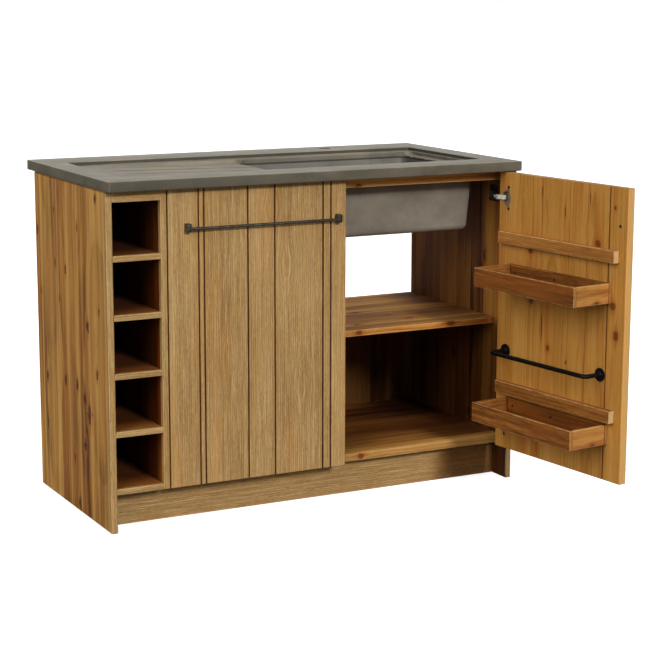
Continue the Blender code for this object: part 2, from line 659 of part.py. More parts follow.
def hinge_arm(side, level, height):
    """The cranked arm on its mounting plate, forked at the tip round the link's eye, with the pivot pin."""
    name = f"{side.name}_hinge_{level}_arm"
    tip = (ARM_PIVOT[0], ARM_PIVOT[1] - ARM_WIDTH / 2)
    path = [side.behind(*point) for point in (tip, ARM_NECK, ARM_CRANK, ARM_TAIL)]
    half = ARM_HEIGHT / 2
    arm = outline_solid(name, strip(path, ARM_WIDTH), (height - half, height + half), NICKEL)
    plate_x = (side.plan(FIT, 0.0)[0], side.plan(PLATE_THICK, 0.0)[0])
    plate_front = side.behind(0.0, PLATE_FRONT)[1]
    plate_y = (plate_front, plate_front + PLATE_LENGTH)
    plate_z = (height - PLATE_HEIGHT / 2, height + PLATE_HEIGHT / 2)
    cut(arm, box(f"{name}_plate", plate_x, plate_y, plate_z, NICKEL, ease=0.0), "UNION")
    x, y = side.behind(*ARM_PIVOT)
    slot_half = LINK_HEIGHT / 2 + LINK_SLOT_PLAY
    slot_reach = LINK_EYE_RADIUS + LINK_SLOT_PLAY
    slot = box(f"{name}_slot", (x - ARM_WIDTH, x + ARM_WIDTH), (y - ARM_WIDTH, y + slot_reach),
               (height - slot_half, height + slot_half), NICKEL, ease=0.0)
    cut(arm, slot)
    pin = cylinder(f"{name}_pin", (x, y, height), PIVOT_RADIUS, ARM_HEIGHT - EASE, NICKEL)
    cut(arm, pin, "UNION")


def hinge_link(side, level, height, parent):
    """The bent link between the arm's pin and the cup, drawn as it stands with the door fully open."""
    name = f"{side.name}_hinge_{level}_link"
    pivot = ARM_PIVOT
    path = [pivot] + [(pivot[0] + across, pivot[1] + back) for across, back in (LINK_KNEE, LINK_END)]
    half = LINK_HEIGHT / 2
    z = (height - half, height + half)
    link = outline_solid(name, strip([side.behind(*point) for point in path], LINK_WIDTH), z, NICKEL, parent)
    centre = (*side.behind(*pivot), height)
    cut(link, cylinder(f"{name}_eye", centre, LINK_EYE_RADIUS, LINK_HEIGHT, NICKEL, parent), "UNION")
    cut(link, cylinder(f"{name}_hole", centre, PIVOT_RADIUS + PIVOT_PLAY, 2 * LINK_HEIGHT, NICKEL, parent))


def door(side, widths, kerfs):
    """One ledged door with its handle and its two hinges."""
    door_boards(side, widths, kerfs)
    door_ledges(side)
    door_handle(side)
    link_turn = -side.run * LINK_RATIO * (side.opening - OPEN_ANGLE)
    link_parent = empty(f"{side.name}_link_axis", (*side.behind(*ARM_PIVOT), 0.0), link_turn)
    for level, height in hinge_levels():
        hinge_cup(side, level, height)
        hinge_arm(side, level, height)
        hinge_link(side, level, height, link_parent)


carcass()
worktop()
sink_bowl()
left = DoorSide("left", DIVIDER_FACE, 1, 0.0)
right = DoorSide("right", RIGHT_PANEL_FACE, -1, OPEN_ANGLE)
door(left, LEFT_BOARDS, LEFT_KERFS)
door(right, RIGHT_BOARDS, RIGHT_KERFS)
for tray_level, tray_bottom in (("upper", UPPER_TRAY_Z), ("lower", LOWER_TRAY_Z)):
    door_tray(right, tray_level, tray_bottom)
towel_rail(right)
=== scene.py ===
"""Looks of a sink base cabinet: oiled woods, a cast stone sink top, forged handles and nickel hinges.

Metres, +Z up, +Y to the back. Every piece is worked out in place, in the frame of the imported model.
"""
import functools
import json
import math

import bpy
import numpy as np
from mathutils import Euler, Matrix, Vector


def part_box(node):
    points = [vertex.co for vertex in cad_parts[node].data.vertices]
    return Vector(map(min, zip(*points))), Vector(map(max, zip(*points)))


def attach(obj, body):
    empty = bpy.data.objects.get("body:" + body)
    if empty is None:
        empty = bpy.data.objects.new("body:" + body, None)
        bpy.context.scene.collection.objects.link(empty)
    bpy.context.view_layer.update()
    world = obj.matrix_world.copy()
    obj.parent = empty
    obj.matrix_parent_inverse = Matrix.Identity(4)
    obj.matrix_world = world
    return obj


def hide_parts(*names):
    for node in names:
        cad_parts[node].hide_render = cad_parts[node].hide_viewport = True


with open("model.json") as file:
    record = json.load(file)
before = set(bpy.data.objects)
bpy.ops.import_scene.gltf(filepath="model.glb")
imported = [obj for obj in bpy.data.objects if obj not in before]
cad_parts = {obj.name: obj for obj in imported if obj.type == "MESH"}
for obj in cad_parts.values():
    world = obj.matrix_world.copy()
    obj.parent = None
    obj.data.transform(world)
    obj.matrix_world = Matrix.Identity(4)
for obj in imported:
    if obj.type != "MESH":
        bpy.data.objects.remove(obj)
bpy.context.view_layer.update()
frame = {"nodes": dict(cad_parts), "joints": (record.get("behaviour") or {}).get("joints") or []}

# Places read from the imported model
SLAB_LOW, SLAB_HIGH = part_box("worktop")
BASIN_LOW, BASIN_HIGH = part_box("sink_bowl")
RIGHT_PANEL_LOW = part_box("right_side_panel")[0]
DIVIDER_LOW, DIVIDER_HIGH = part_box("rack_divider")
FIRST_BOARD_LOW, FIRST_BOARD_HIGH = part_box("left_door_board_1")
LAST_BOARD_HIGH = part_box("left_door_board_5")[1]
DOOR_THICK = FIRST_BOARD_HIGH.y - FIRST_BOARD_LOW.y
DOOR_GAP = FIRST_BOARD_LOW.x - DIVIDER_HIGH.x
DOOR_WIDTH = LAST_BOARD_HIGH.x - FIRST_BOARD_LOW.x
JOINTS = {joint["name"]: joint for joint in frame["joints"]}

# The sink top
RIM_SIDE, RIM_FRONT, RIM_BACK = 0.070, 0.105, 0.130
RECESS_DEPTH = 0.010
RECESS_CORNER = 0.012
RECESS_LIP, RECESS_COVE, RECESS_SLANT = 0.0020, 0.0045, 0.001
BASIN_WALL = 0.028
BASIN_FLOOR = 0.020
BASIN_CORNER = 0.030
BASIN_OUTER_CORNER = 0.034
BASIN_DRAFT = 0.016
BASIN_FOOT = 0.018
BOWL_LIP = 0.0035
DRAIN_RADIUS = 0.045
DRAIN_LIP = 0.004
FLOOR_FALL = 0.0012
DRAINER_START = -0.500
DRAINER_EDGE = 0.036
DRAINER_FALL = 0.009
GROOVES = 4
GROOVE_START = -0.470
GROOVE_WIDTH = 0.017
GROOVE_DEPTH = 0.0032
STONE_EDGE = 0.0028
SLAB_CORNER = 0.005
TIGHTEST_CORNER = 0.0015
TAP_CENTRE = (0.290, 0.4725)
TAP_RADIUS = 0.0175

# What hangs on the doors, across from the hinge edge, off the inner face and up
HANDLE_Z = 0.770
HANDLE_ENDS = (0.0515, DOOR_WIDTH - 0.026)
HANDLE_REACH = 0.018
HANDLE_SINK = 0.0007
HANDLE_BLOCK = (0.0148, 0.0226)
HANDLE_BLOCK_RISE = 0.0025
HANDLE_BAR = 0.0040
HANDLE_PROFILE = ((0.0, 1.0), (0.0060, 1.0), (0.0072, 0.99), (0.0130, 0.96), (0.0150, 0.92), (0.0163, 0.80),
                  (0.0169, 0.56), (0.0171, 0.24))
RAIL_Z = 0.3785
RAIL_ENDS = (0.040, 0.421)
RAIL_REACH = 0.055
RAIL_RADIUS = 0.006
RAIL_BEND = 0.014
FLANGE_RADIUS = 0.018
ROSE_PROFILE = ((0.9, 0.0002), (1.0, 0.0006), (1.0, 0.0030), (0.96, 0.0040), (0.80, 0.0046), (0.56, 0.0049),
                (0.50, 0.0058), (0.47, 0.0085), (0.42, 0.0092), (0.20, 0.0092))
HINGE_HEIGHTS = {"upper": 0.802, "lower": 0.170}
CUP_ACROSS = 0.030
CUP_RADIUS = 0.0175
CUP_DEPTH = 0.011
CUP_SCREW = (0.0105, 0.0295)
LINK_PIVOT = (0.039, -0.0025)
LINK_KNEE = (0.0037, -0.0200)
LINK_END = (-0.0082, -0.0430)
LINK_RATIO = 1.12
TRAY_SCREWS = ((0.085, 0.6040), (0.244, 0.6040), (0.085, 0.2305), (0.244, 0.2305))
TRAY_WALL = 0.010
TRAY_FEET = {"upper": 0.572, "lower": 0.199}
TRAY_ACROSS, TRAY_REACH, TRAY_HEIGHT = (0.055, 0.455), 0.130, 0.052
LEDGE_FEET = {"upper": 0.678, "lower": 0.2595}
LEDGE_ACROSS, LEDGE_THICK, LEDGE_HEIGHT = (0.017, 0.477), 0.018, 0.033
# The ledges' tones, the lower ledges darker as painted shade
LEDGE_TONES = {"upper": 0.07, "lower": -0.16}
# The trays' boards: the order of their axes along the grain, and their tone on the upper and the lower tray; the lower
# tray's back is darker as painted shade
TRAY_BOARDS = {"back": ("ZYX", -0.35, -0.70), "front": ("ZYX", -0.36), "hinge_end": ("ZXY", -0.15),
               "free_end": ("ZXY", 0.30), "base": ("YZX", -0.50)}
LEFT_JOINTS = (0.0977, 0.2198, 0.2962, 0.4362)
LEFT_KERFS = (0.0826, 0.4592)
RIGHT_JOINTS = (0.178, 0.288, 0.357, 0.439)

# The camera that took the view, for a square image
CAMERA_PLACE = (-2.1523, -4.2614, 1.3862)
CAMERA_YAW, CAMERA_PITCH, CAMERA_ROLL = 0.4766, 0.1871, 0.002
CAMERA_LENS = 98.98
CAMERA_SHIFT = (0.0080, -0.0105)


class DoorPlace:
    """A door's own axes as it stands: across from its hinge edge, off its inner face, and up."""

    def __init__(self, corner, across, off):
        self.corner, self.across, self.off = (np.array(pair) for pair in (corner, across, off))
        self.mirrored = across[0] * off[1] - across[1] * off[0] < 0.0

    def world(self, points):
        """Carries (across, off, up) points into the model's frame: corner + across * a + off * o."""
        flat = self.corner + points[..., :1] * self.across + points[..., 1:2] * self.off
        return np.concatenate([flat, points[..., 2:]], axis=-1)

    def mapping(self):
        """The Mapping node's values that carry object coordinates into these axes."""
        turn = math.atan2(-self.across[1], self.off[1])
        shift = (-self.corner @ self.across, -self.corner @ self.off, 0.0)
        return {"Location": shift, "Rotation": (0.0, 0.0, turn), "Scale": (-1.0 if self.mirrored else 1.0, 1.0, 1.0)}


def open_place(joint):
    """The right door's axes: those of the shut door, turned by its opening about the swing's axis."""
    turn = -math.radians(joint["range_deg"][0])
    pivot = np.array(joint["pos_m"][:2])
    spin = np.array(((math.cos(turn), -math.sin(turn)), (math.sin(turn), math.cos(turn))))
    shut = np.array((RIGHT_PANEL_LOW.x - DOOR_GAP, FIRST_BOARD_HIGH.y))
    return DoorPlace(pivot + spin @ (shut - pivot), spin @ (-1.0, 0.0), spin @ (0.0, 1.0))


LEFT_DOOR = DoorPlace((FIRST_BOARD_LOW.x, FIRST_BOARD_HIGH.y), (1.0, 0.0), (0.0, 1.0))
RIGHT_DOOR = open_place(JOINTS["right_door_swing"])
DOORS = {"left": LEFT_DOOR, "right": RIGHT_DOOR}


# ---------------------------------------------------------------- surfaces

def ramp01(values, low, high):
    """A smooth step from 0 at low to 1 at high: 3 t t - 2 t t t."""
    t = np.clip((values - low) / (high - low), 0.0, 1.0)
    return t * t * (3.0 - 2.0 * t)


def full_turn(steps):
    """Angles of one turn in equal steps, without the last, which is the first again."""
    return np.linspace(0.0, 2.0 * math.pi, steps, endpoint=False)


def spatial(x, y, z):
    """Points from their three coordinates, spread to one shape."""
    return np.stack(np.broadcast_arrays(x, y, z), axis=-1)


def loop(x, y, radius, steps, corner_steps):
    """A rectangle with round corners, anticlockwise from the front left: each straight side, then its quarter arc."""
    (x0, x1), (y0, y1), r = x, y, radius
    starts = np.array(((x0 + r, y0), (x1, y0 + r), (x1 - r, y1), (x0, y1 - r)))
    ends = np.array(((x1 - r, y0), (x1, y1 - r), (x0 + r, y1), (x0, y0 + r)))
    centres = np.array(((x1 - r, y0 + r), (x1 - r, y1 - r), (x0 + r, y1 - r), (x0 + r, y0 + r)))
    parts = []
    for side in range(4):
        t = np.linspace(0.0, 1.0, steps[side], endpoint=False)[:, None]
        angle = (np.linspace(0.0, 1.0, corner_steps, endpoint=False) + side - 1.0) * math.pi / 2
        parts += [starts[side] + (ends[side] - starts[side]) * t,
                  centres[side] + r * np.stack((np.cos(angle), np.sin(angle)), axis=-1)]
    return np.vstack(parts)


def lift(flat, z):
    """A flat loop raised to a height, or to one height for each point."""
    return np.concatenate([flat, np.broadcast_to(z, len(flat))[:, None]], axis=1)


def grid_quads(rows, columns, wrap_rows=False):
    """Quads of a grid that closes along its columns: point (r, c) is number r * columns + c."""
    r = np.arange(rows if wrap_rows else rows - 1)[:, None]
    c = np.arange(columns)[None, :]
    r2, c2 = (r + 1) % rows, (c + 1) % columns
    corners = np.broadcast_arrays(r * columns + c, r * columns + c2, r2 * columns + c2, r2 * columns + c)
    return np.stack(corners, axis=-1).reshape(-1, 4)


def lofted(rings):
    """A closed shell through rings of points, with a flat face over its first and last ring: (points, faces)."""
    rows, columns = rings.shape[:2]
    faces = grid_quads(rows, columns).tolist()
    faces += [list(range(columns))[::-1], list(range((rows - 1) * columns, rows * columns))]
    return rings.reshape(-1, 3), faces


def turned(profile, steps=40):
    """A shell turned about the up axis: each (radius, height) of the profile is a ring."""
    angle = full_turn(steps)
    radius, height = np.array(profile).T[:, :, None]
    return lofted(spatial(radius * np.cos(angle), radius * np.sin(angle), height))


def tube(path, radius, up, steps=20):
    """A round bar along a flat path: each ring is path + radius (cos a * sideways + sin a * up)."""
    ahead = np.gradient(path, axis=0)
    ahead /= np.linalg.norm(ahead, axis=1, keepdims=True)
    sideways = np.cross(ahead, up)
    angle = full_turn(steps)[None, :, None]
    radius = np.broadcast_to(radius, len(path))[:, None, None]
    return lofted(path[:, None] + radius * (np.cos(angle) * sideways[:, None] + np.sin(angle) * np.array(up)))


def outward(points, faces):
    """The faces turned so that the shell's signed volume is positive."""
    fans = np.array([(face[0], face[i], face[i + 1]) for face in faces for i in range(1, len(face) - 1)])
    a, b, c = (points[fans[:, corner]] for corner in range(3))
    volume = np.einsum("ij,ij->i", a, np.cross(b, c)).sum()
    return faces if volume > 0.0 else [face[::-1] for face in faces]


def piece(name, shells, body, material, stands_for=(), crease=35.0):
    """One object made of closed shells, smooth but for edges sharper than the crease angle."""
    points, faces, start = [], [], 0
    for shell_points, shell_faces in shells:
        faces += [[start + corner for corner in face] for face in outward(shell_points, shell_faces)]
        points.append(shell_points)
        start += len(shell_points)
    mesh = bpy.data.meshes.new(name)
    mesh.from_pydata(np.vstack(points), [], faces)
    mesh.shade_smooth()
    mesh.set_sharp_from_angle(angle=math.radians(crease))
    mesh.materials.append(material)
    made = bpy.data.objects.new(name, mesh)
    bpy.context.scene.collection.objects.link(made)
    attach(made, body)
    if stands_for:
        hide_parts(*stands_for)
    return made


def carve(made, shell):
    """Takes a closed shell out of a piece and keeps the result as its mesh."""
    cutter_mesh = bpy.data.meshes.new("cutter")
    cutter_mesh.from_pydata(shell[0], [], outward(*shell))
    cutter = bpy.data.objects.new("cutter", cutter_mesh)
    bpy.context.scene.collection.objects.link(cutter)
    modifier = made.modifiers.new("carve", "BOOLEAN")
    modifier.object, modifier.solver = cutter, "EXACT"
    bpy.context.view_layer.update()
    solid = bpy.data.meshes.new_from_object(made.evaluated_get(bpy.context.evaluated_depsgraph_get()))
    made.modifiers.clear()
    made.data = solid
    bpy.data.objects.remove(cutter)


# ---------------------------------------------------------------- node trees

def tint(red, green, blue):
    """A colour given as it looks on screen, 0 to 255, as linear light."""
    part = np.array((red, green, blue)) / 255.0
    linear = np.where(part <= 0.04045, part / 12.92, ((part + 0.055) / 1.055) ** 2.4)
    return (*linear.tolist(), 1.0)


class Bench:
    """Short calls that add nodes to one tree and wire them up."""

    def __init__(self, tree):
        self.tree = tree

    def add(self, kind, values=None, **settings):
        node = self.tree.nodes.new(kind)
        for name, value in settings.items():
            setattr(node, name, value)
        for socket, value in (values or {}).items():
            self.feed(node.inputs[socket], value)
        return node

    def feed(self, socket, value):
        if isinstance(value, bpy.types.NodeSocket):
            self.tree.links.new(value, socket)
        else:
            socket.default_value = value

    def math(self, operation, *values, clamp=False):
        return self.add("ShaderNodeMath", dict(enumerate(values)), operation=operation, use_clamp=clamp).outputs[0]

    def times(self, first, second):
        return self.math("MULTIPLY", first, second)

    def plus(self, first, second, clamp=False):
        return self.math("ADD", first, second, clamp=clamp)

    def minus(self, first, second):
        return self.math("SUBTRACT", first, second)

    def over(self, first, second):
        return self.math("DIVIDE", first, second)

    def weighted(self, mask, strength):
        """How far a mask lies from its middle, times a strength."""
        return self.times(self.minus(mask, 0.5), strength)

    def vector(self, operation, *values, result=0):
        return self.add("ShaderNodeVectorMath", dict(enumerate(values)), operation=operation).outputs[result]

    def stretched(self, vector, factors):
        return self.vector("MULTIPLY", vector, factors)

    def moved(self, vector, shift):
        return self.vector("ADD", vector, shift)

    def scale(self, vector, factor):
        return self.add("ShaderNodeVectorMath", {"Vector": vector, "Scale": factor}, operation="SCALE").outputs[0]

    def mix(self, factor, first, second, blend="MIX"):
        values = {0: factor, 6: first, 7: second}
        return self.add("ShaderNodeMix", values, data_type="RGBA", blend_type=blend).outputs[2]

    def shaded(self, colour, mask, shade):
        """A colour multiplied by a shade where the mask is 1."""
        return self.mix(mask, colour, self.mix(1.0, colour, (*shade, 1.0), "MULTIPLY"))

    def speckled(self, colour, value):
        """A colour multiplied by one value in all its parts."""
        return self.mix(1.0, colour, self.join(value, value, value), "MULTIPLY")

    def span(self, value, low, high, to_low=0.0, to_high=1.0, smooth=True):
        kind = "SMOOTHSTEP" if smooth else "LINEAR"
        values = {"Value": value, "From Min": low, "From Max": high, "To Min": to_low, "To Max": to_high}
        return self.add("ShaderNodeMapRange", values, interpolation_type=kind).outputs[0]

    def noise(self, vector, scale=1.0, detail=2.0, roughness=0.5):
        values = {"Vector": vector, "Scale": scale, "Detail": detail, "Roughness": roughness}
        return self.add("ShaderNodeTexNoise", values).outputs[0]

    def ramp(self, factor, stops, steps=False):
        node = self.add("ShaderNodeValToRGB", {0: factor})
        ramp = node.color_ramp
        ramp.interpolation = "CONSTANT" if steps else "LINEAR"
        for _ in stops[2:]:
            ramp.elements.new(1.0)
        for element, (place, colour) in zip(ramp.elements, stops):
            element.position = place
            element.color = colour
        return node.outputs[0]

    def parts(self, vector):
        return list(self.add("ShaderNodeSeparateXYZ", {0: vector}).outputs)

    def join(self, x, y, z):
        return self.add("ShaderNodeCombineXYZ", {0: x, 1: y, 2: z}).outputs[0]

    def zones(self, colour, places, rules):
        """A colour shaded by zones: each rule is spans of (axis, from, to), and the shade where all of them are 1."""
        for spans, shade in rules:
            mask = 1.0
            for axis, start, end in spans:
                mask = self.times(mask, self.span(places[axis], start, end))
            colour = self.shaded(colour, mask, shade)
        return colour

    def group(self, effect, **values):
        node = self.add("ShaderNodeGroup", node_tree=effect)
        for socket, value in values.items():
            self.feed(node.inputs[socket.replace("_", " ")], value)
        return node.outputs

    def surface(self, colour, rough, height, strength, relief, **constants):
        """A Principled surface with a relief, as the material's output; constants are set on its own sockets."""
        bump = self.add("ShaderNodeBump", {"Height": height, "Strength": strength, "Distance": relief})
        values = {socket.replace("_", " "): value for socket, value in constants.items()}
        shader = self.add("ShaderNodeBsdfPrincipled", {"Base Color": colour, "Roughness": rough,
                                                       "Normal": bump.outputs[0], **values})
        self.add("ShaderNodeOutputMaterial", {"Surface": shader.outputs[0]})


def new_material(name):
    """An empty node material: the material, its bench and its coordinates."""
    material = bpy.data.materials.new(name)
    material.use_nodes = True
    material.node_tree.nodes.clear()
    b = Bench(material.node_tree)
    return material, b, b.add("ShaderNodeTexCoord").outputs


def effect(name, vectors, values, masks, led=()):
    """An empty shader group: the group, its bench, what comes in (vectors, values) and what goes out (led, masks)."""
    tree = bpy.data.node_groups.new(name, "ShaderNodeTree")
    for way, kind, sockets in (("INPUT", "Vector", vectors), ("INPUT", "Float", values), ("OUTPUT", "Vector", led),
                               ("OUTPUT", "Float", masks)):
        for socket in sockets:
            tree.interface.new_socket(socket, in_out=way, socket_type=f"NodeSocket{kind}")
    bench = Bench(tree)
    return tree, bench, bench.add("NodeGroupInput").outputs, bench.add("NodeGroupOutput").inputs


def wood_fibre():
    """Streaks, short flecks, long dark lines and open pores: noise squeezed across the grain and stretched along it."""
    tree, b, take, give = effect("wood_fibre", ("Vector",), ("Seed", "Fineness", "Stretch"),
                                 ("Streak", "Fleck", "Broad", "Line", "Pore"))
    along = b.over(take["Fineness"], take["Stretch"])
    placed = b.moved(take["Vector"], b.join(0.0, 0.0, take["Seed"]))
    drawn = b.stretched(placed, b.join(take["Fineness"], take["Fineness"], along))
    b.feed(give["Streak"], b.span(b.noise(drawn, 1.0, 4.0, 0.65), 0.30, 0.70))
    short = b.times(take["Stretch"], 0.13)
    flecks = b.stretched(drawn, b.join(1.0, 1.0, short))
    longer, longest, long = (b.stretched(drawn, (1.0, 1.0, squeeze)) for squeeze in (0.35, 0.16, 0.45))
    b.feed(give["Fleck"], b.span(b.noise(flecks, 0.8, 2.0, 0.6), 0.32, 0.68))
    b.feed(give["Broad"], b.span(b.noise(longer, 0.15, 2.0, 0.5), 0.30, 0.70))
    lines = b.span(b.noise(longest, 0.55, 3.0, 0.6), 0.54, 0.70)
    patches = b.span(b.noise(long, 0.11, 2.0, 0.5), 0.40, 0.60)
    b.feed(give["Line"], b.times(lines, patches))
    b.feed(give["Pore"], b.span(b.noise(drawn, 2.3, 1.0, 0.4), 0.62, 0.74))
    return tree


def wood_rings():
    """Growth rings: the distance to a leaning pith over the ring width, so flat faces show long arches."""
    tree, b, take, give = effect("wood_rings", ("Vector",), ("Seed", "Ring Width", "Pith Depth", "Lean", "Waver"),
                                 ("Late", "Year"))
    across, depth, along = b.parts(take["Vector"])
    placed = b.moved(take["Vector"], b.join(0.0, 0.0, take["Seed"]))
    slow = b.stretched(placed, (9.0, 9.0, 1.9))
    wander = b.minus(b.noise(slow, 1.0, 2.0, 0.5), 0.5)
    bend = b.minus(b.noise(b.join(0.0, 3.7, b.parts(placed)[2]), 1.9, 1.0, 0.5), 0.5)
    pith = b.minus(b.times(b.math("FRACT", b.times(take["Seed"], 3.717)), 0.6), 0.1)
    sideways = b.plus(b.minus(across, pith), b.times(wander, take["Waver"]))
    inward = b.plus(b.plus(depth, take["Pith Depth"]), b.times(along, take["Lean"]))
    inward = b.plus(inward, b.times(bend, b.times(take["Waver"], 3.0)))
    reach = b.math("SQRT", b.plus(b.times(sideways, sideways), b.times(inward, inward)))
    rings = b.over(reach, take["Ring Width"])
    phase = b.math("FRACT", rings)
    late = b.times(b.span(phase, 0.45, 0.90), b.span(phase, 1.0, 0.93))
    year = b.add("ShaderNodeTexWhiteNoise", {"W": b.math("FLOOR", rings)}, noise_dimensions="1D").outputs[0]
    b.feed(give["Late"], late)
    b.feed(give["Year"], year)
    return tree


def wood_knot():
    """One knot: a shaken core, a dark rim with a tail along the grain, a halo, and the grain led round it."""
    tree, b, take, give = effect("wood_knot", ("Vector", "Centre"), ("Radius", "Stretch", "Shake"),
                                 ("Core", "Rim", "Halo"), ("Vector",))
    gap = b.stretched(b.vector("SUBTRACT", take["Vector"], take["Centre"]), (1.0, 0.0, 1.0))
    squeeze = b.join(1.0, 1.0, b.over(1.0, take["Stretch"]))
    size = b.over(b.vector("LENGTH", b.stretched(gap, squeeze), result=1), take["Radius"])
    fade = b.math("EXPONENT", b.times(b.times(size, size), -0.22))
    b.feed(give["Vector"], b.vector("SUBTRACT", take["Vector"], b.scale(gap, b.times(fade, 0.82))))
    noise = b.add("ShaderNodeTexNoise", {"Vector": take["Vector"], "Scale": 75.0, "Detail": 3.0}).outputs[1]
    shake = b.scale(b.vector("SUBTRACT", noise, (0.5, 0.5, 0.5)), b.times(take["Radius"], take["Shake"]))
    shaken = b.moved(gap, shake)
    rough = b.over(b.vector("LENGTH", b.stretched(shaken, squeeze), result=1), take["Radius"])
    b.feed(give["Core"], b.span(rough, 1.05, 0.70))
    ring = b.times(b.span(rough, 0.50, 0.95), b.span(rough, 1.65, 1.0))
    thin = b.span(b.math("ABSOLUTE", b.over(b.parts(shaken)[0], take["Radius"])), 0.75, 0.05)
    tail = b.times(thin, b.span(rough, 4.5, 1.0))
    b.feed(give["Rim"], b.math("MAXIMUM", ring, b.times(tail, 0.5)))
    b.feed(give["Halo"], b.span(rough, 3.6, 0.8))
    return tree


def glued_staves():
    """Strips of uneven width glued side by side: a tone and a seed for each, and the seams between."""
    tree, b, take, give = effect("glued_staves", (), ("Across", "Width", "Seed"), ("Tone", "Chance", "Seam"))
    place = b.plus(b.over(take["Across"], take["Width"]), take["Seed"])
    cells, edges = (b.add("ShaderNodeTexVoronoi", {"W": place, "Scale": 1.0, "Randomness": 0.55},
                          voronoi_dimensions="1D", feature=feature) for feature in ("F1", "DISTANCE_TO_EDGE"))
    chance = b.add("ShaderNodeSeparateColor", {0: cells.outputs["Color"]}).outputs
    b.feed(give["Tone"], chance[0])
    b.feed(give["Chance"], b.times(chance[1], 19.0))
    distance = b.times(edges.outputs["Distance"], take["Width"])
    b.feed(give["Seam"], b.span(distance, 0.0010, 0.0003))
    return tree


def worn_arris():
    """Rubbed edges of a board: the second least of the three distances to its faces, under a ragged width."""
    tree, b, take, give = effect("worn_arris", ("Vector", "Low", "High"), ("Width",), ("Mask",))
    above = b.parts(b.vector("SUBTRACT", take["Vector"], take["Low"]))
    below = b.parts(b.vector("SUBTRACT", take["High"], take["Vector"]))
    x, y, z = (b.math("MINIMUM", low, high) for low, high in zip(above, below))
    second = b.math("MAXIMUM", b.math("MINIMUM", x, y), b.math("MINIMUM", b.math("MAXIMUM", x, y), z))
    ragged = b.times(take["Width"], b.span(b.noise(take["Vector"], 45.0, 3.0, 0.6), 0.35, 0.65, 0.5, 1.2))
    b.feed(give["Mask"], b.span(b.over(second, ragged), 1.0, 0.25))
    return tree


def cast_stone():
    """Cast stone: cloudy shade on three scales, pale smudges, fine sand and small pits."""
    tree, b, take, give = effect("cast_stone", ("Vector",), (), ("Cloud", "Smudge", "Sand", "Pit"))
    noise = b.add("ShaderNodeTexNoise", {"Vector": take["Vector"], "Scale": 5.0}).outputs[1]
    moved = b.moved(take["Vector"], b.scale(b.vector("SUBTRACT", noise, (0.5, 0.5, 0.5)), 0.10))
    b.feed(give["Cloud"], b.span(b.noise(moved, 7.0, 6.0, 0.62), 0.30, 0.70))
    b.feed(give["Smudge"], b.span(b.noise(b.stretched(moved, (1.0, 2.6, 2.6)), 4.5, 4.0, 0.6), 0.52, 0.72))
    b.feed(give["Sand"], b.noise(take["Vector"], 900.0, 2.0, 0.7))
    pits = b.add("ShaderNodeTexVoronoi", {"Vector": take["Vector"], "Scale": 210.0}).outputs["Distance"]
    few = b.span(b.noise(take["Vector"], 45.0, 1.0, 0.5), 0.56, 0.66)
    b.feed(give["Pit"], b.times(b.span(pits, 0.26, 0.14), few))
    return tree


def forged_metal():
    """Hammered and rubbed metal: shallow dimples from cells, with a paler rub in patches."""
    tree, b, take, give = effect("forged_metal", ("Vector",), ("Dimple",), ("Height", "Rub"))
    cells = b.add("ShaderNodeTexVoronoi", {"Vector": take["Vector"], "Scale": take["Dimple"]}, feature="SMOOTH_F1")
    scratch = b.times(b.noise(take["Vector"], 800.0, 3.0, 0.6), 0.15)
    b.feed(give["Height"], b.plus(cells.outputs["Distance"], scratch))
    b.feed(give["Rub"], b.span(b.noise(take["Vector"], 46.0, 3.0, 0.55), 0.40, 0.70))
    return tree


FIBRE, RINGS, KNOT, STAVES = wood_fibre(), wood_rings(), wood_knot(), glued_staves()
ARRIS, STONE, FORGED = worn_arris(), cast_stone(), forged_metal()

# Kinds of wood: colours from early to late wood, growth, fibre and finish
OAK = {"pale": (206, 170, 114), "mid": (166, 130, 79), "deep": (100, 68, 32), "flush": (182, 128, 62),
       "core": (96, 60, 30), "rim": (84, 54, 28), "ring": 0.0062, "waver": 0.006, "lean": 0.010, "pith": 0.022,
       "late": 0.15, "fibre": 0.27, "fleck": 0.22, "year": 0.10, "broad": 0.14, "lines": 0.20, "pores": 0.14,
       "cloud": 0.40, "fine": 740.0, "stretch": 50.0, "relief": 0.0005, "rough": (0.58, 0.78),
       "silver": 0.24, "shake": 1.5, "warm": 0.34}
PINE = {"pale": (208, 155, 79), "mid": (184, 130, 57), "deep": (138, 78, 24), "flush": (172, 98, 32),
        "core": (96, 46, 14), "rim": (86, 38, 10), "ring": 0.0105, "waver": 0.030, "lean": 0.030, "pith": 0.026,
        "late": 0.13, "fibre": 0.16, "fleck": 0.10, "year": 0.12, "broad": 0.20, "lines": 0.08, "pores": 0.05,
        "cloud": 0.75, "fine": 380.0, "stretch": 18.0, "relief": 0.0002, "rough": (0.46, 0.60),
        "silver": 0.0, "shake": 1.2, "warm": 0.75}
STAVE = {"pale": (216, 168, 92), "mid": (180, 130, 61), "deep": (88, 48, 16), "flush": (160, 94, 34),
         "core": (52, 27, 10), "rim": (78, 42, 16), "ring": 0.0090, "waver": 0.010, "lean": 0.006, "pith": 0.024,
         "late": 0.14, "fibre": 0.22, "fleck": 0.08, "year": 0.22, "broad": 0.36, "lines": 0.30, "pores": 0.18,
         "cloud": 1.05, "fine": 290.0, "stretch": 38.0, "relief": 0.0002, "rough": (0.54, 0.70),
         "silver": 0.0, "shake": 3.4, "warm": 0.7}
SHELF = {**STAVE, "pale": (206, 154, 78), "mid": (166, 113, 50), "deep": (82, 44, 14), "rough": (0.72, 0.86)}
BASE_EDGE = {**PINE, "pale": (200, 152, 88), "mid": (170, 123, 64), "deep": (112, 66, 24), "late": 0.26}
EDGE = {**PINE, "pale": (212, 154, 82), "mid": (180, 118, 52), "deep": (96, 44, 14), "late": 0.30, "lines": 0.24}
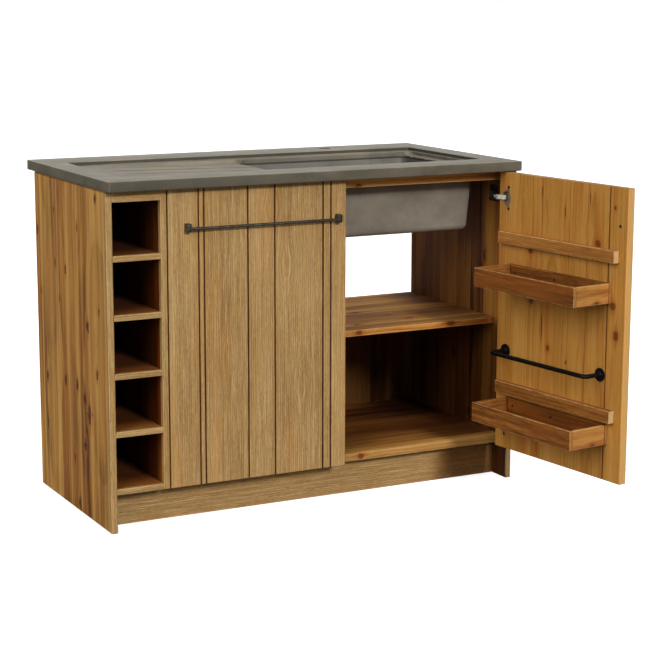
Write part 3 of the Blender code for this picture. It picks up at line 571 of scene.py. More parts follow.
TRAY_PINE = {**PINE, "pale": (186, 130, 64), "mid": (152, 96, 41), "deep": (98, 54, 18), "flush": (146, 82, 30),
             "ring": 0.0110, "late": 0.12, "lines": 0.10, "fibre": 0.38, "fleck": 0.20, "broad": 0.38, "pores": 0.10,
             "cloud": 0.90, "stretch": 32.0}

# What all kinds share: the middle of the tone, a seed from a tone, gloss, fibres, pores, knots, edges and sawn ends
WOOD_MIDDLE = 0.56
TONE_SEED = 23.0
WOOD_GLOSS, STAVE_GLOSS = 0.22, 0.14
SILVER_FIBRE = (226, 206, 164)
PORE_SHADE = (0.42, 0.36, 0.30)
KNOT_MARKS = (("Halo", 0.55, "flush"), ("Rim", 0.70, "rim"), ("Core", 0.80, "core"))
ARRIS_WIDTH = 0.0026
ARRIS_RUB = 0.34
RUBBED_EDGE = (222, 188, 132)
SAWN_END = (150, 112, 66)


class Timber:
    """A wooden material: the piece's own axes, then rings, fibres, knots and edges, then the shader."""

    def __init__(self, name, place=None, order="XYZ"):
        self.material, self.b, coordinates = new_material(name)
        local, normal = coordinates["Object"], coordinates["Normal"]
        if place:
            local = self.b.add("ShaderNodeMapping", {"Vector": local, **place.mapping()}).outputs[0]
            turn = {**place.mapping(), "Location": (0.0, 0.0, 0.0)}
            normal = self.b.add("ShaderNodeMapping", {"Vector": normal, **turn}).outputs[0]
        self.local = local
        parts = self.b.parts(local)
        self.across, self.depth, self.along = (parts["XYZ".index(axis)] for axis in order)
        faces = self.b.parts(normal)
        self.end = self.b.span(self.b.math("ABSOLUTE", faces["XYZ".index(order[2])]), 0.80, 0.95)
        self.grain = self.b.join(self.across, self.depth, self.along)

    def nearest(self, value, places):
        """The distance to the nearest of some places."""
        gaps = [self.b.math("ABSOLUTE", self.b.minus(value, place)) for place in places]
        return functools.reduce(lambda least, gap: self.b.math("MINIMUM", least, gap), gaps)

    def stepped(self, value, edges, levels):
        """A level for each stretch between edges, lowest first."""
        low, high = edges[0], edges[-1]
        stops = [((edge - low) / (high - low), (level, level, level, 1.0)) for edge, level in zip(edges, levels)]
        return self.b.ramp(self.b.span(value, low, high, smooth=False), stops, steps=True)

    def knotted(self, knots, shake):
        """The grain led round knots at (across, along, radius, stretch), with the knots' marks."""
        grain, marks = self.grain, {"Core": 0.0, "Rim": 0.0, "Halo": 0.0}
        for across, along, radius, stretch in knots:
            knot = self.b.group(KNOT, Vector=grain, Centre=(across, 0.0, along), Radius=radius, Stretch=stretch,
                                Shake=shake)
            grain = knot["Vector"]
            marks = {mark: self.b.math("MAXIMUM", value, knot[mark]) for mark, value in marks.items()}
        return grain, marks

    def look(self, kind, seed=0.0, knots=(), tone=0.0, eyes=()):
        """Colour, height and roughness of one kind of wood; eyes lead the grain round them, with no knot inside."""
        b = self.b
        grain, marks = self.knotted(knots, kind["shake"])
        for across, along, radius, stretch in eyes:
            grain = b.group(KNOT, Vector=grain, Centre=(across, 0.0, along), Radius=radius, Stretch=stretch)["Vector"]
        rings = b.group(RINGS, Vector=grain, Seed=seed, Ring_Width=kind["ring"], Pith_Depth=kind["pith"],
                        Lean=kind["lean"], Waver=kind["waver"])
        fibres = b.group(FIBRE, Vector=grain, Seed=seed, Fineness=kind["fine"], Stretch=kind["stretch"])
        value = b.plus(WOOD_MIDDLE, b.weighted(rings["Year"], kind["year"]))
        for mark, strength in (("Streak", "fibre"), ("Fleck", "fleck"), ("Broad", "broad")):
            value = b.plus(value, b.weighted(fibres[mark], kind[strength]))
        value = b.minus(value, b.times(rings["Late"], kind["late"]))
        value = b.minus(value, b.times(fibres["Line"], kind["lines"]))
        value = b.plus(value, tone)
        placed = b.moved(grain, b.join(0.0, 0.0, seed))
        cloud = b.noise(b.stretched(placed, (9.0, 9.0, 2.4)), 1.0, 2.0, 0.5)
        value = b.plus(value, b.weighted(cloud, kind["cloud"]), clamp=True)
        colour = b.ramp(value, [(0.0, tint(*kind["deep"])), (0.5, tint(*kind["mid"])), (1.0, tint(*kind["pale"]))])
        warm = b.noise(b.stretched(placed, (26.0, 26.0, 2.2)), 1.0, 2.0, 0.5)
        colour = b.mix(b.span(warm, 0.48, 0.72, 0.0, kind["warm"]), colour, tint(*kind["flush"]))
        if kind["silver"]:
            colour = b.mix(b.span(fibres["Streak"], 0.70, 0.98, 0.0, kind["silver"]), colour, tint(*SILVER_FIBRE))
        colour = b.shaded(colour, b.times(fibres["Pore"], kind["pores"]), PORE_SHADE)
        for mark, strength, shade in KNOT_MARKS if knots else ():
            colour = b.mix(b.times(marks[mark], strength), colour, tint(*kind[shade]))
        height = b.plus(b.times(fibres["Streak"], 0.7), b.times(rings["Late"], 0.4))
        height = b.minus(height, b.times(fibres["Pore"], 0.8))
        rough = b.span(value, 0.0, 1.0, kind["rough"][0], kind["rough"][1], smooth=False)
        return {"colour": colour, "height": height, "rough": rough, "relief": kind["relief"]}

    def choose(self, mask, first, second):
        """One look where the mask is 0 and another where it is 1."""
        b = self.b
        scaled = b.times(second["height"], second["relief"] / first["relief"])
        pick = {}
        for part, other in (("height", scaled), ("rough", second["rough"])):
            pick[part] = b.plus(first[part], b.times(mask, b.minus(other, first[part])))
        return {"colour": b.mix(mask, first["colour"], second["colour"]), "relief": first["relief"], **pick}

    def darken(self, look, mask, shade):
        """The look multiplied by a shade where the mask is 1."""
        look["colour"] = self.b.shaded(look["colour"], mask, shade)

    def blend(self, look, mask, colour):
        """The look turned into a colour where the mask is 1."""
        look["colour"] = self.b.mix(mask, look["colour"], colour)

    def painted_shade(self, look, rules):
        """Painted shade in zones: the colour darkened where little light reaches."""
        look["colour"] = self.b.zones(look["colour"], dict(zip("XYZ", self.b.parts(self.local))), rules)

    def arris(self, look, low, high, rub=ARRIS_RUB):
        """Paler rubbed edges of a board that fills the box from low to high, in the piece's own axes."""
        mask = self.b.group(ARRIS, Vector=self.local, Low=low, High=high, Width=ARRIS_WIDTH)["Mask"]
        self.blend(look, self.b.times(mask, rub), tint(*RUBBED_EDGE))

    def end_grain(self, look, colour, strength=0.7):
        """Ends cut across the grain: speckled, and another shade."""
        b = self.b
        speck = b.span(b.noise(self.local, 900.0, 2.0, 0.6), 0.35, 0.65, 0.75, 1.1)
        self.blend(look, b.times(self.end, strength), b.speckled(tint(*colour), speck))

    def done(self, look, gloss=WOOD_GLOSS):
        """The shader: oiled wood, with the grain as relief."""
        self.b.surface(look["colour"], look["rough"], look["height"], 0.8, look["relief"], Specular_IOR_Level=gloss)
        return self.material


def dress(material, *names):
    """Gives CAD nodes a material in every slot."""
    for name in names:
        node = frame["nodes"][name]
        if not node.data.materials:
            node.data.materials.append(material)
        for slot in node.material_slots:
            slot.material = material


# ---------------------------------------------------------------- wooden materials

# The paler colour painted on a door's free edge: painted light.
FREE_EDGE_LIGHT = (226, 176, 108)
DOOR_END = (190, 152, 100)


def door_boards(side, joints, kerfs, tones, knots, outer_eyes, inner_eyes):
    """Boards of a door: brushed oak outside, orange pine inside, each board with a grain of its own."""
    t = Timber(f"{side}_door_boards", DOORS[side])
    b = t.b
    edges = (0.0, *joints, DOOR_WIDTH)
    tone = t.stepped(t.across, edges, (*tones, tones[-1]))
    seed = b.times(tone, TONE_SEED)
    shade = b.weighted(tone, 0.30)
    gap = t.nearest(t.across, joints)
    outer = t.look(OAK, seed, tone=shade, eyes=outer_eyes)
    inner = t.look(PINE, seed, knots, shade, inner_eyes)
    oak_end, pine_start = -0.62 * DOOR_THICK, -0.55 * DOOR_THICK
    look = t.choose(b.span(t.depth, oak_end, pine_start), outer, inner)
    # The free edge painted paler: painted light on its face.
    t.blend(look, b.span(t.across, DOOR_WIDTH - 0.0012, DOOR_WIDTH - 0.0004, 0.0, 0.60), tint(*FREE_EDGE_LIGHT))
    # Painted shade in the V-grooves of the joints and kerfs, on the outer face.
    near = b.span(t.nearest(t.across, (*joints, *kerfs)), 0.0030, 0.0016)
    outside = b.span(t.depth, pine_start, oak_end)
    t.darken(look, b.times(near, outside), (0.20, 0.11, 0.07))
    stain = b.noise(b.stretched(t.local, (40.0, 40.0, 9.0)), 1.0, 2.0, 0.5)
    flush = b.times(b.span(gap, 0.010, 0.001), b.span(stain, 0.42, 0.66))
    t.darken(look, b.times(flush, 0.35), (0.78, 0.58, 0.36))
    t.darken(look, b.span(gap, 0.0016, 0.0006), (0.80, 0.68, 0.52))
    t.darken(look, b.span(t.nearest(t.across, joints[-1:]), 0.0026, 0.0014), (0.30, 0.18, 0.12))
    t.end_grain(look, DOOR_END, 0.4)
    dress(t.done(look), *(f"{side}_door_board_{number}" for number in range(1, 6)))


# Knots and eyes of the boards: across, up, radius and stretch along the grain
door_boards("left", LEFT_JOINTS, LEFT_KERFS, (0.62, 0.40, 0.55, 0.46, 0.66),
            ((0.150, 0.30, 0.009, 1.3), (0.37, 0.62, 0.008, 1.2)),
            ((0.284, 0.805, 0.010, 1.4), (0.330, 0.660, 0.013, 2.2), (0.165, 0.420, 0.010, 3.0),
             (0.372, 0.330, 0.012, 2.4)),
            ((0.30, 0.45, 0.015, 2.2),))
door_boards("right", RIGHT_JOINTS, (), (0.50, 0.4157, 0.56, 0.4656, 0.60),
            ((0.397, 0.719, 0.0078, 1.0), (0.458, 0.818, 0.0030, 1.6), (0.134, 0.668, 0.0064, 1.1),
             (0.141, 0.533, 0.0068, 1.1), (0.460, 0.564, 0.0072, 1.3), (0.213, 0.414, 0.0056, 1.2),
             (0.286, 0.387, 0.0024, 1.3), (0.474, 0.489, 0.0076, 1.4), (0.178, 0.832, 0.0016, 9.0),
             (0.270, 0.788, 0.0017, 8.0), (0.365, 0.833, 0.0014, 9.0), (0.186, 0.470, 0.0020, 14.0)),
            ((0.24, 0.62, 0.016, 2.6), (0.40, 0.35, 0.018, 2.6)),
            ((0.369, 0.744, 0.012, 1.6), (0.100, 0.765, 0.014, 3.0), (0.320, 0.470, 0.012, 3.0)))

# The left panel's knots and eyes: from the front, up, radius and stretch
PANEL_KNOTS = (
    (0.395, 0.321, 0.0064, 2.2), (0.246, 0.339, 0.0066, 2.0), (0.156, 0.344, 0.0066, 1.9), (0.004, 0.398, 0.0058, 1.8),
    (0.100, 0.317, 0.0090, 1.3), (0.066, 0.280, 0.0125, 1.7), (0.103, 0.192, 0.0095, 1.3), (0.186, 0.139, 0.0046, 2.6),
    (0.152, 0.020, 0.0080, 2.0), (-0.007, 0.850, 0.0056, 1.6), (0.135, 0.760, 0.0044, 2.6), (0.230, 0.637, 0.0050, 2.0),
    (0.309, 0.646, 0.0036, 2.8), (0.427, 0.555, 0.0058, 1.8), (0.068, 0.512, 0.0070, 1.8), (-0.017, 0.564, 0.0032, 2.4),
    (0.451, 0.716, 0.0050, 2.0), (0.283, 0.554, 0.0034, 2.6), (0.311, 0.786, 0.0032, 2.6), (0.400, 0.190, 0.0036, 5.0),
    (0.088, 0.236, 0.0050, 2.6))
PANEL_EYES = ((0.350, 0.560, 0.020, 3.5), (0.350, 0.250, 0.020, 4.0), (0.010, 0.640, 0.016, 4.0))
PANEL_SEAMS = (-0.064, 0.053, 0.139, 0.216, 0.289, 0.424)
PANEL_TONES = (0.74, 0.75, 0.45, 0.50, 0.45, 0.64, 0.38, 0.38)
SEAM_GLOW = (214, 170, 102)


def left_panel():
    """The left side panel: staves of the widths and tones seen, ragged knots, and an oak lipping in front."""
    t = Timber("left_panel_staves", None, "YXZ")
    b = t.b
    low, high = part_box("left_side_panel")
    tone = t.stepped(t.across, (low.y, *PANEL_SEAMS, high.y), PANEL_TONES)
    look = t.look(STAVE, b.times(tone, TONE_SEED), PANEL_KNOTS, b.weighted(tone, 0.6), PANEL_EYES)
    t.darken(look, b.span(tone, 0.58, 0.40), (0.93, 0.83, 0.65))
    look = t.choose(b.span(t.across, -0.0635, -0.0645), look, t.look(OAK, 4.0))
    # The inner face darkened: painted shade.
    t.painted_shade(look, [((("X", high.x - 0.003, high.x - 0.001),), (0.46, 0.36, 0.26))])
    near = t.nearest(t.across, PANEL_SEAMS)
    t.blend(look, b.times(b.span(near, 0.0050, 0.0032), 0.60), tint(*SEAM_GLOW))
    t.darken(look, b.span(near, 0.0014, 0.0006), (0.60, 0.48, 0.36))
    t.arris(look, low, high)
    # A thin dark band along the top: painted shade in the gap under the slab.
    t.darken(look, b.span(t.along, high.z - 0.0045, high.z - 0.0025), (0.40, 0.32, 0.24))
    t.end_grain(look, SAWN_END)
    dress(t.done(look), "left_side_panel")


def stave_board(node, finish, order, width, seed, knots=(), lipping=None, tone=0.0, painted_shade=(), kind=STAVE,
                spread=0.85):
    """Dresses a board in glued staves, with a lipping in front of (kind, depth, the order of its axes, knots)."""
    low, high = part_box(node)
    t = Timber(finish, None, order)
    b = t.b
    staves = b.group(STAVES, Across=t.across, Width=width, Seed=seed)
    shade = b.plus(b.weighted(staves["Tone"], spread), tone)
    look = t.look(kind, b.plus(staves["Chance"], seed), knots, shade)
    t.darken(look, staves["Seam"], (0.55, 0.48, 0.42))
    if lipping:
        front_kind, depth, front_order, front_knots = lipping
        parts = dict(zip("XYZ", b.parts(t.local)))
        t.grain = b.join(*(parts[axis] for axis in front_order))
        mask = b.span(parts["Y"], low.y + depth + 0.0005, low.y + depth - 0.0005)
        look = t.choose(mask, look, t.look(front_kind, seed + 0.4, front_knots))
    # Painted shade on the zones given.
    t.painted_shade(look, painted_shade)
    t.arris(look, low, high)
    t.end_grain(look, SAWN_END)
    dress(t.done(look, STAVE_GLOSS), node)


def plank(node, finish, kind, order, seed, box=None, place=None, knots=(), tone=0.0, end=(196, 152, 96), painted_shade=(),
          rub=0.52):
    """Dresses a board sawn from one plank; the box of a board on a door is in the door's own axes."""
    t = Timber(finish, place, order)
    look = t.look(kind, seed, knots, tone)
    # Painted shade on the zones given.
    t.painted_shade(look, painted_shade)
    t.arris(look, *(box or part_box(node)), rub)
    t.end_grain(look, end)
    dress(t.done(look), node)


# Painted shade in zones of the inner faces, where little light reaches: spans of (axis, from, to), and the shade
# painted there
LIPPING = 0.0155
OAK_LIPPING = (OAK, LIPPING, "YXZ", ())
RIGHT_INNER = ("X", RIGHT_PANEL_LOW.x + 0.003, RIGHT_PANEL_LOW.x + 0.001)
UNDER_SHELF = ("Z", 0.46, 0.42)
RIGHT_INSIDES = [((RIGHT_INNER,), (0.52, 0.40, 0.25)), ((RIGHT_INNER, UNDER_SHELF), (0.36, 0.32, 0.34)),
                 ((RIGHT_INNER, UNDER_SHELF, ("Y", 0.02, -0.04)), (0.55, 0.46, 0.46)),
                 ((RIGHT_INNER, ("Z", 0.60, 0.86), ("Y", 0.05, -0.03)), (0.50, 0.45, 0.40))]
DIVIDER_INSIDES = [((("Y", DIVIDER_LOW.y + 0.0150, DIVIDER_LOW.y + 0.0165),), (0.62, 0.38, 0.17)),
                   ((("Y", DIVIDER_LOW.y + 0.016, DIVIDER_LOW.y + 0.060),), (0.26, 0.21, 0.18))]
BOTTOM_INSIDES = [((("Y", -0.05, 0.16),), (0.46, 0.35, 0.27)),
                  ((("X", 0.26, 0.55), ("Y", -0.05, 0.0)), (0.46, 0.36, 0.28))]
SHELF_INSIDES = [((("X", 0.40, 0.57),), (0.55, 0.44, 0.36))]
BACK_FACE = ("Y", 0.4656, 0.4600)
BACK_INSIDES = [((BACK_FACE,), (0.21, 0.15, 0.11)), ((BACK_FACE, ("X", 0.05, -0.25)), (0.40, 0.36, 0.32))]

left_panel()
stave_board("right_side_panel", "right_panel_staves", "YXZ", 0.075, 3.0,
            ((0.05, 0.62, 0.005, 2.4), (0.21, 0.31, 0.005, 2.2), (0.35, 0.71, 0.005, 2.4), (0.12, 0.15, 0.005, 2.2)),
            OAK_LIPPING, painted_shade=RIGHT_INSIDES, spread=0.45)
stave_board("rack_divider", "divider_staves", "YXZ", 0.080, 5.0, (), OAK_LIPPING, painted_shade=DIVIDER_INSIDES)
stave_board("bottom_panel", "bottom_staves", "YZX", 0.070, 7.0, ((0.15, 0.133, 0.006, 2.0),),
            (BASE_EDGE, 0.004, "ZYX", ((0.112, 0.133, 0.0058, 1.3),)), -0.08, BOTTOM_INSIDES, SHELF)
stave_board("mid_shelf", "shelf_staves", "YZX", 0.055, 9.0,
            ((0.224, 0.258, 0.0060, 2.0), (0.155, 0.328, 0.0050, 2.2), (0.088, 0.360, 0.0050, 2.2),
             (0.060, 0.180, 0.0040, 3.0)),
            (EDGE, 0.004, "ZYX", ((0.444, 0.149, 0.0050, 1.5), (0.446, 0.438, 0.0050, 2.4))), 0.10, SHELF_INSIDES,
            SHELF)
stave_board("lower_back_panel", "lower_back_staves", "XYZ", 0.090, 11.0, painted_shade=BACK_INSIDES)
stave_board("rack_back_panel", "rack_back_staves", "XYZ", 0.060, 13.0, painted_shade=BACK_INSIDES)
stave_board("rear_top_rail", "rear_rail_staves", "YZX", 0.050, 15.0)
# The plinth's right part darkened: a painted shadow of the open door.
plank("plinth", "plinth_oak", OAK, "ZYX", 2.0, painted_shade=[((("X", 0.36, 0.43),), (0.58, 0.46, 0.36))])
plank("rack_top_rail", "rack_rail_oak", OAK, "ZYX", 3.0)
# The rack's shelves: painted shade behind their front edges and more of it further back, less dark on the lower
# shelves.
for number, shelf in enumerate(("rack_bottom_shelf", *(f"rack_shelf_{level}" for level in range(1, 5)))):
    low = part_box(shelf)[0]
    rack_shade = tuple(np.interp(low.z, (0.20, 0.72), (1.8, 1.0)) * np.array((0.42, 0.22, 0.08)))
    plank(shelf, f"{shelf}_oak", OAK, "YZX", 4.0 + number,
          painted_shade=[((("Y", low.y + 0.001, low.y + 0.02),), rack_shade),
                   ((("Y", low.y + 0.01, low.y + 0.12),), (0.28, 0.22, 0.16))])
# The front rail's right part darkened: painted shade.
plank("front_top_rail", "front_rail_pine", EDGE, "ZYX", 6.0, knots=((0.850, 0.121, 0.0045, 1.6),), tone=0.22,
      painted_shade=[((("X", 0.44, 0.57),), (0.45, 0.34, 0.26))])
for side, door in DOORS.items():
    for level, foot in LEDGE_FEET.items():
        ledge = ((LEDGE_ACROSS[0], 0.0, foot), (LEDGE_ACROSS[1], LEDGE_THICK, foot + LEDGE_HEIGHT))
        plank(f"{side}_door_{level}_ledge", f"{side}_{level}_ledge_pine", TRAY_PINE, "ZYX", 7.0 + foot, ledge, door,
              tone=LEDGE_TONES[level], end=(226, 190, 130))
for level, foot in TRAY_FEET.items():
    tray = ((TRAY_ACROSS[0], 0.0, foot), (TRAY_ACROSS[1], TRAY_REACH, foot + TRAY_HEIGHT))
    for number, (board, (order, *tones)) in enumerate(TRAY_BOARDS.items()):
        plank(f"right_{level}_tray_{board}", f"{level}_tray_{board}_pine", TRAY_PINE, order, 11.0 + number + foot, tray,
              RIGHT_DOOR, ((foot + 0.002, 0.052, 0.005, 1.2),) if board == "free_end" else (),
              tones[0] if level == "upper" else tones[-1], (176, 122, 60), rub=0.40)


# ---------------------------------------------------------------- stone and metal

STONE_ROUGH, STONE_DULLING, STONE_GLOSS, STONE_RELIEF = 0.53, 0.16, 0.32, 0.0004
STONE_PIT = (46, 42, 36)


def stone_material(name, dark, pale, smudge, rules):
    """Honed cast stone, with clouds, smudges, sand and pits; rules paint light and shade on its zones, with F for how
    it faces across.
    """
    material, b, take = new_material(name)
    stone = b.group(STONE, Vector=take["Object"])
    colour = b.mix(stone["Cloud"], tint(*dark), tint(*pale))
    colour = b.mix(b.times(stone["Smudge"], 0.5), colour, tint(*smudge))
    colour = b.speckled(colour, b.span(stone["Sand"], 0.35, 0.65, 0.88, 1.10))
    colour = b.mix(b.times(stone["Pit"], 0.6), colour, tint(*STONE_PIT))
    places = dict(zip("XYZF", (*b.parts(take["Object"]), b.parts(take["Normal"])[0])))
    colour = b.zones(colour, places, rules)
    rough = b.plus(STONE_ROUGH, b.times(stone["Cloud"], STONE_DULLING))
    height = b.minus(b.times(stone["Sand"], 0.3), stone["Pit"])
    b.surface(colour, rough, height, 0.5, STONE_RELIEF, Specular_IOR_Level=STONE_GLOSS)
    return material


def metal_material(name, dark, pale, dimple, relief, rough, metallic, gloss=0.5):
    """Metal with a hammered or brushed relief and a paler rub in patches."""
    material, b, take = new_material(name)
    forged = b.group(FORGED, Vector=take["Object"], Dimple=dimple)
    colour = b.mix(forged["Rub"], tint(*dark), tint(*pale))
    roughness = b.span(forged["Rub"], 0.0, 1.0, *rough, smooth=False)
    b.surface(colour, roughness, forged["Height"], 0.7, relief, Metallic=metallic, Specular_IOR_Level=gloss)
    return material


SLAB_X, SLAB_Y = (SLAB_LOW.x, SLAB_HIGH.x), (SLAB_LOW.y, SLAB_HIGH.y)
RECESS_X = (SLAB_LOW.x + RIM_SIDE, SLAB_HIGH.x - RIM_SIDE)
RECESS_Y = (SLAB_LOW.y + RIM_FRONT, SLAB_HIGH.y - RIM_BACK)
BOWL_X = (BASIN_LOW.x + BASIN_WALL, BASIN_HIGH.x - BASIN_WALL)
BOWL_Y = (BASIN_LOW.y + BASIN_WALL, BASIN_HIGH.y - BASIN_WALL)
GROOVE_PITCH = (RECESS_Y[1] - RECESS_Y[0] - 2 * DRAINER_EDGE) / GROOVES
GROOVE_LINES = [RECESS_Y[0] + DRAINER_EDGE + GROOVE_PITCH * (at + 0.5) for at in range(GROOVES)]
# Zones of the stone where light and shade are painted: spans of (axis, from, to), with F for how a face turns across
SLAB_TOP = ("Z", SLAB_HIGH.z - 0.0012, SLAB_HIGH.z - 0.0004)
SLAB_FRONT = ("Y", SLAB_LOW.y + 0.004, SLAB_LOW.y + 0.002)
STEP_WALL = (("Z", SLAB_HIGH.z - 0.0012, SLAB_HIGH.z - 0.0024),
             ("Z", SLAB_HIGH.z - RECESS_DEPTH + 0.0005, SLAB_HIGH.z - RECESS_DEPTH + 0.0025),
             ("X", SLAB_LOW.x + 0.04, SLAB_LOW.x + 0.05), ("X", SLAB_HIGH.x - 0.04, SLAB_HIGH.x - 0.05),
             ("Y", SLAB_LOW.y + 0.04, SLAB_LOW.y + 0.05), ("Y", SLAB_HIGH.y - 0.04, SLAB_HIGH.y - 0.05))
ABOVE_FOOT = ("Z", SLAB_LOW.z + 0.004, SLAB_LOW.z + 0.006)
SINK_FLOOR = (("Z", SLAB_HIGH.z - 0.0085, SLAB_HIGH.z - 0.0095), ABOVE_FOOT, *STEP_WALL[2:])
GROOVE_SHADE = [((("Y", line - 0.0080, line - 0.0030), ("Y", line + 0.0080, line + 0.0030),
                  ("X", GROOVE_START, GROOVE_START + 0.04), ("X", BOWL_X[0], BOWL_X[0] - 0.01), ABOVE_FOOT),
                 (0.58, 0.58, 0.58)) for line in GROOVE_LINES]
LEFT_FACING = ("F", -0.45, -0.80)
BASIN_INSIDE = (("X", BOWL_X[0] - 0.004, BOWL_X[0]), ("X", BOWL_X[1] + 0.004, BOWL_X[1]),
                ("Y", BOWL_Y[0] - 0.004, BOWL_Y[0]), ("Y", BOWL_Y[1] + 0.004, BOWL_Y[1]))
# The slab: a painted sheen lightens its top and its sunk floor, and painted light its left end; its front face is
# darker at its left end and lighter at its right end; painted shade darkens the recess's step wall, the bowl's opening,
# the walls that face left and the grooves.
SLAB_STONE = stone_material("slab_stone", (72, 67, 56), (94, 88, 75), (106, 97, 82), [
    ((SLAB_TOP,), (2.80, 2.88, 2.98)), ((SLAB_FRONT,), (0.87, 0.86, 0.84)),
    ((SLAB_FRONT, ("X", -0.50, 0.50)), (1.52, 1.50, 1.46)),
    ((("X", SLAB_LOW.x + 0.004, SLAB_LOW.x + 0.002),), (1.34, 1.34, 1.26)),
    (STEP_WALL, (0.50, 0.50, 0.50)), (SINK_FLOOR, (2.68, 2.68, 2.62)), (BASIN_INSIDE, (0.62, 0.62, 0.66)),
    ((LEFT_FACING, ("X", -0.50, -0.45)), (0.40, 0.40, 0.41)), *GROOVE_SHADE])
# The bowl: painted shade inside it, deeper on the walls that face left, and a painted shadow of the slab's front,
# darkest at the top of its front face.
BASIN_STONE = stone_material("basin_stone", (110, 103, 91), (134, 126, 112), (146, 136, 119), [
    (BASIN_INSIDE, (0.80, 0.85, 0.90)), ((*BASIN_INSIDE, LEFT_FACING), (0.42, 0.42, 0.43)),
    ((("Y", BASIN_LOW.y + 0.01, BASIN_LOW.y + 0.004), ("Z", 0.815, 0.868)), (0.42, 0.39, 0.33))])
# Metals: dark and pale tint, dimples to a metre, relief, roughness of dark and pale, metallic, gloss
DARK_STEEL = metal_material("dark_forged_steel", (80, 78, 72), (106, 104, 97), 90.0, 0.00002, (0.34, 0.31), 0.90)
BLACK_PAINT = metal_material("black_painted_rod", (4, 4, 4), (9, 9, 9), 320.0, 0.0001, (0.50, 0.42), 0.0, 0.16)
BLACK_SCREW = metal_material("black_screw_steel", (12, 12, 12), (36, 36, 36), 600.0, 0.0001, (0.40, 0.30), 0.6)
# One nickel plate in three copies: darker on the hinge arms as painted shade, paler on the cups and whitest on the
# links as painted light.
DARK_NICKEL_PAINTED_SHADE = metal_material("nickel_plate", (66, 60, 50), (104, 96, 82), 500.0, 0.00005, (0.42, 0.34), 0.9)
WHITE_NICKEL_PAINTED_LIGHT = metal_material("white_nickel_plate_painted_light", (204, 200, 186), (238, 234, 222), 500.0, 0.00004, (0.42, 0.32),
                               0.40)
PALE_NICKEL_PAINTED_LIGHT = metal_material("pale_nickel_plate_painted_light", (132, 121, 102), (172, 161, 140), 500.0, 0.00005, (0.40, 0.32), 0.55)
dress(DARK_NICKEL_PAINTED_SHADE, *(f"{side}_hinge_{level}_arm" for side in DOORS for level in HINGE_HEIGHTS))


# ---------------------------------------------------------------- the sink

def inset_loop(x, y, radius, inset, counts):
    """A round-cornered rectangle drawn in by an inset all round."""
    inner_x, inner_y = (x[0] + inset, x[1] - inset), (y[0] + inset, y[1] - inset)
    return loop(inner_x, inner_y, max(radius - inset, TIGHTEST_CORNER), *counts)


def inset_rings(x, y, radius, insets, heights, counts):
    """One rectangle drawn in and raised step by step: a ring for each inset and its height."""
    return [lift(inset_loop(x, y, radius, inset, counts), height) for inset, height in zip(insets, heights)]


def ring_shell(rings):
    """A closed shell whose last ring joins its first: (points, faces)."""
    rings = np.array(rings)
    return rings.reshape(-1, 3), grid_quads(*rings.shape[:2], wrap_rows=True).tolist()


def recess_floor(flat):
    """Height of the sunk floor: level, then a drainer that falls to the bowl, with round-bottomed grooves in it."""
    x, y = flat[..., 0], flat[..., 1]
    low_y, high_y = RECESS_Y[0] + DRAINER_EDGE, RECESS_Y[1] - DRAINER_EDGE
    window = ramp01(y, low_y - 0.002, low_y + 0.004) * ramp01(y, high_y + 0.002, high_y - 0.004)
    run = np.clip((x - DRAINER_START) / (BOWL_X[0] - DRAINER_START), 0.0, 1.0)
    phase = np.mod(y - low_y, GROOVE_PITCH) - GROOVE_PITCH / 2
    groove = np.where(np.abs(phase) < GROOVE_WIDTH / 2, 0.5 + 0.5 * np.cos(2 * math.pi * phase / GROOVE_WIDTH), 0.0)
    groove = groove * ramp01(x, GROOVE_START, GROOVE_START + 0.03)
    return SLAB_HIGH.z - RECESS_DEPTH - window * (DRAINER_FALL * run + GROOVE_DEPTH * groove)


def slab_shell():
    """The slab as loops in turn: foot, rounded edge, rim, recess wall with a cove, floor, bowl lip and bowl wall.

    Each loop is a round-cornered rectangle with the same count of points, and the floor's loops run in a straight
    line from the recess's edge to the bowl's opening. The last loop joins the first, so the shell is a ring.
    """
    counts = (90, 60, 90, 240), 12
    slab, recess = (SLAB_X, SLAB_Y, SLAB_CORNER), (RECESS_X, RECESS_Y, RECESS_CORNER)
    bowl = (BOWL_X, BOWL_Y, BASIN_CORNER)
    low, high = SLAB_LOW.z, SLAB_HIGH.z
    quarter = np.linspace(0.0, math.pi / 2, 5)
    out, back = 1 - np.cos(quarter), 1 - np.sin(quarter)
    rings = inset_rings(*slab, STONE_EDGE * back, low + STONE_EDGE * out, counts)
    rings += inset_rings(*slab, STONE_EDGE * out, high - STONE_EDGE * back, counts)
    rings += inset_rings(*recess, -RECESS_LIP * back, high - RECESS_LIP * out, counts)
    rings += inset_rings(*recess, RECESS_SLANT + RECESS_COVE * out, high - RECESS_DEPTH + RECESS_COVE * back, counts)
    outer = inset_loop(*recess, RECESS_SLANT + RECESS_COVE, counts)
    inner = inset_loop(*bowl, -BOWL_LIP, counts)
    share = np.concatenate([np.linspace(0.0, 0.22, 34), np.linspace(0.22, 1.0, 40)[1:]])[1:, None, None]
    rings += [lift(flat, recess_floor(flat)) for flat in outer + (inner - outer) * share]
    rings += inset_rings(*bowl, -BOWL_LIP * back[1:], recess_floor(inner) - BOWL_LIP * out[1:, None], counts)
    rings.append(lift(loop(*bowl, *counts), low))
    return ring_shell(rings)


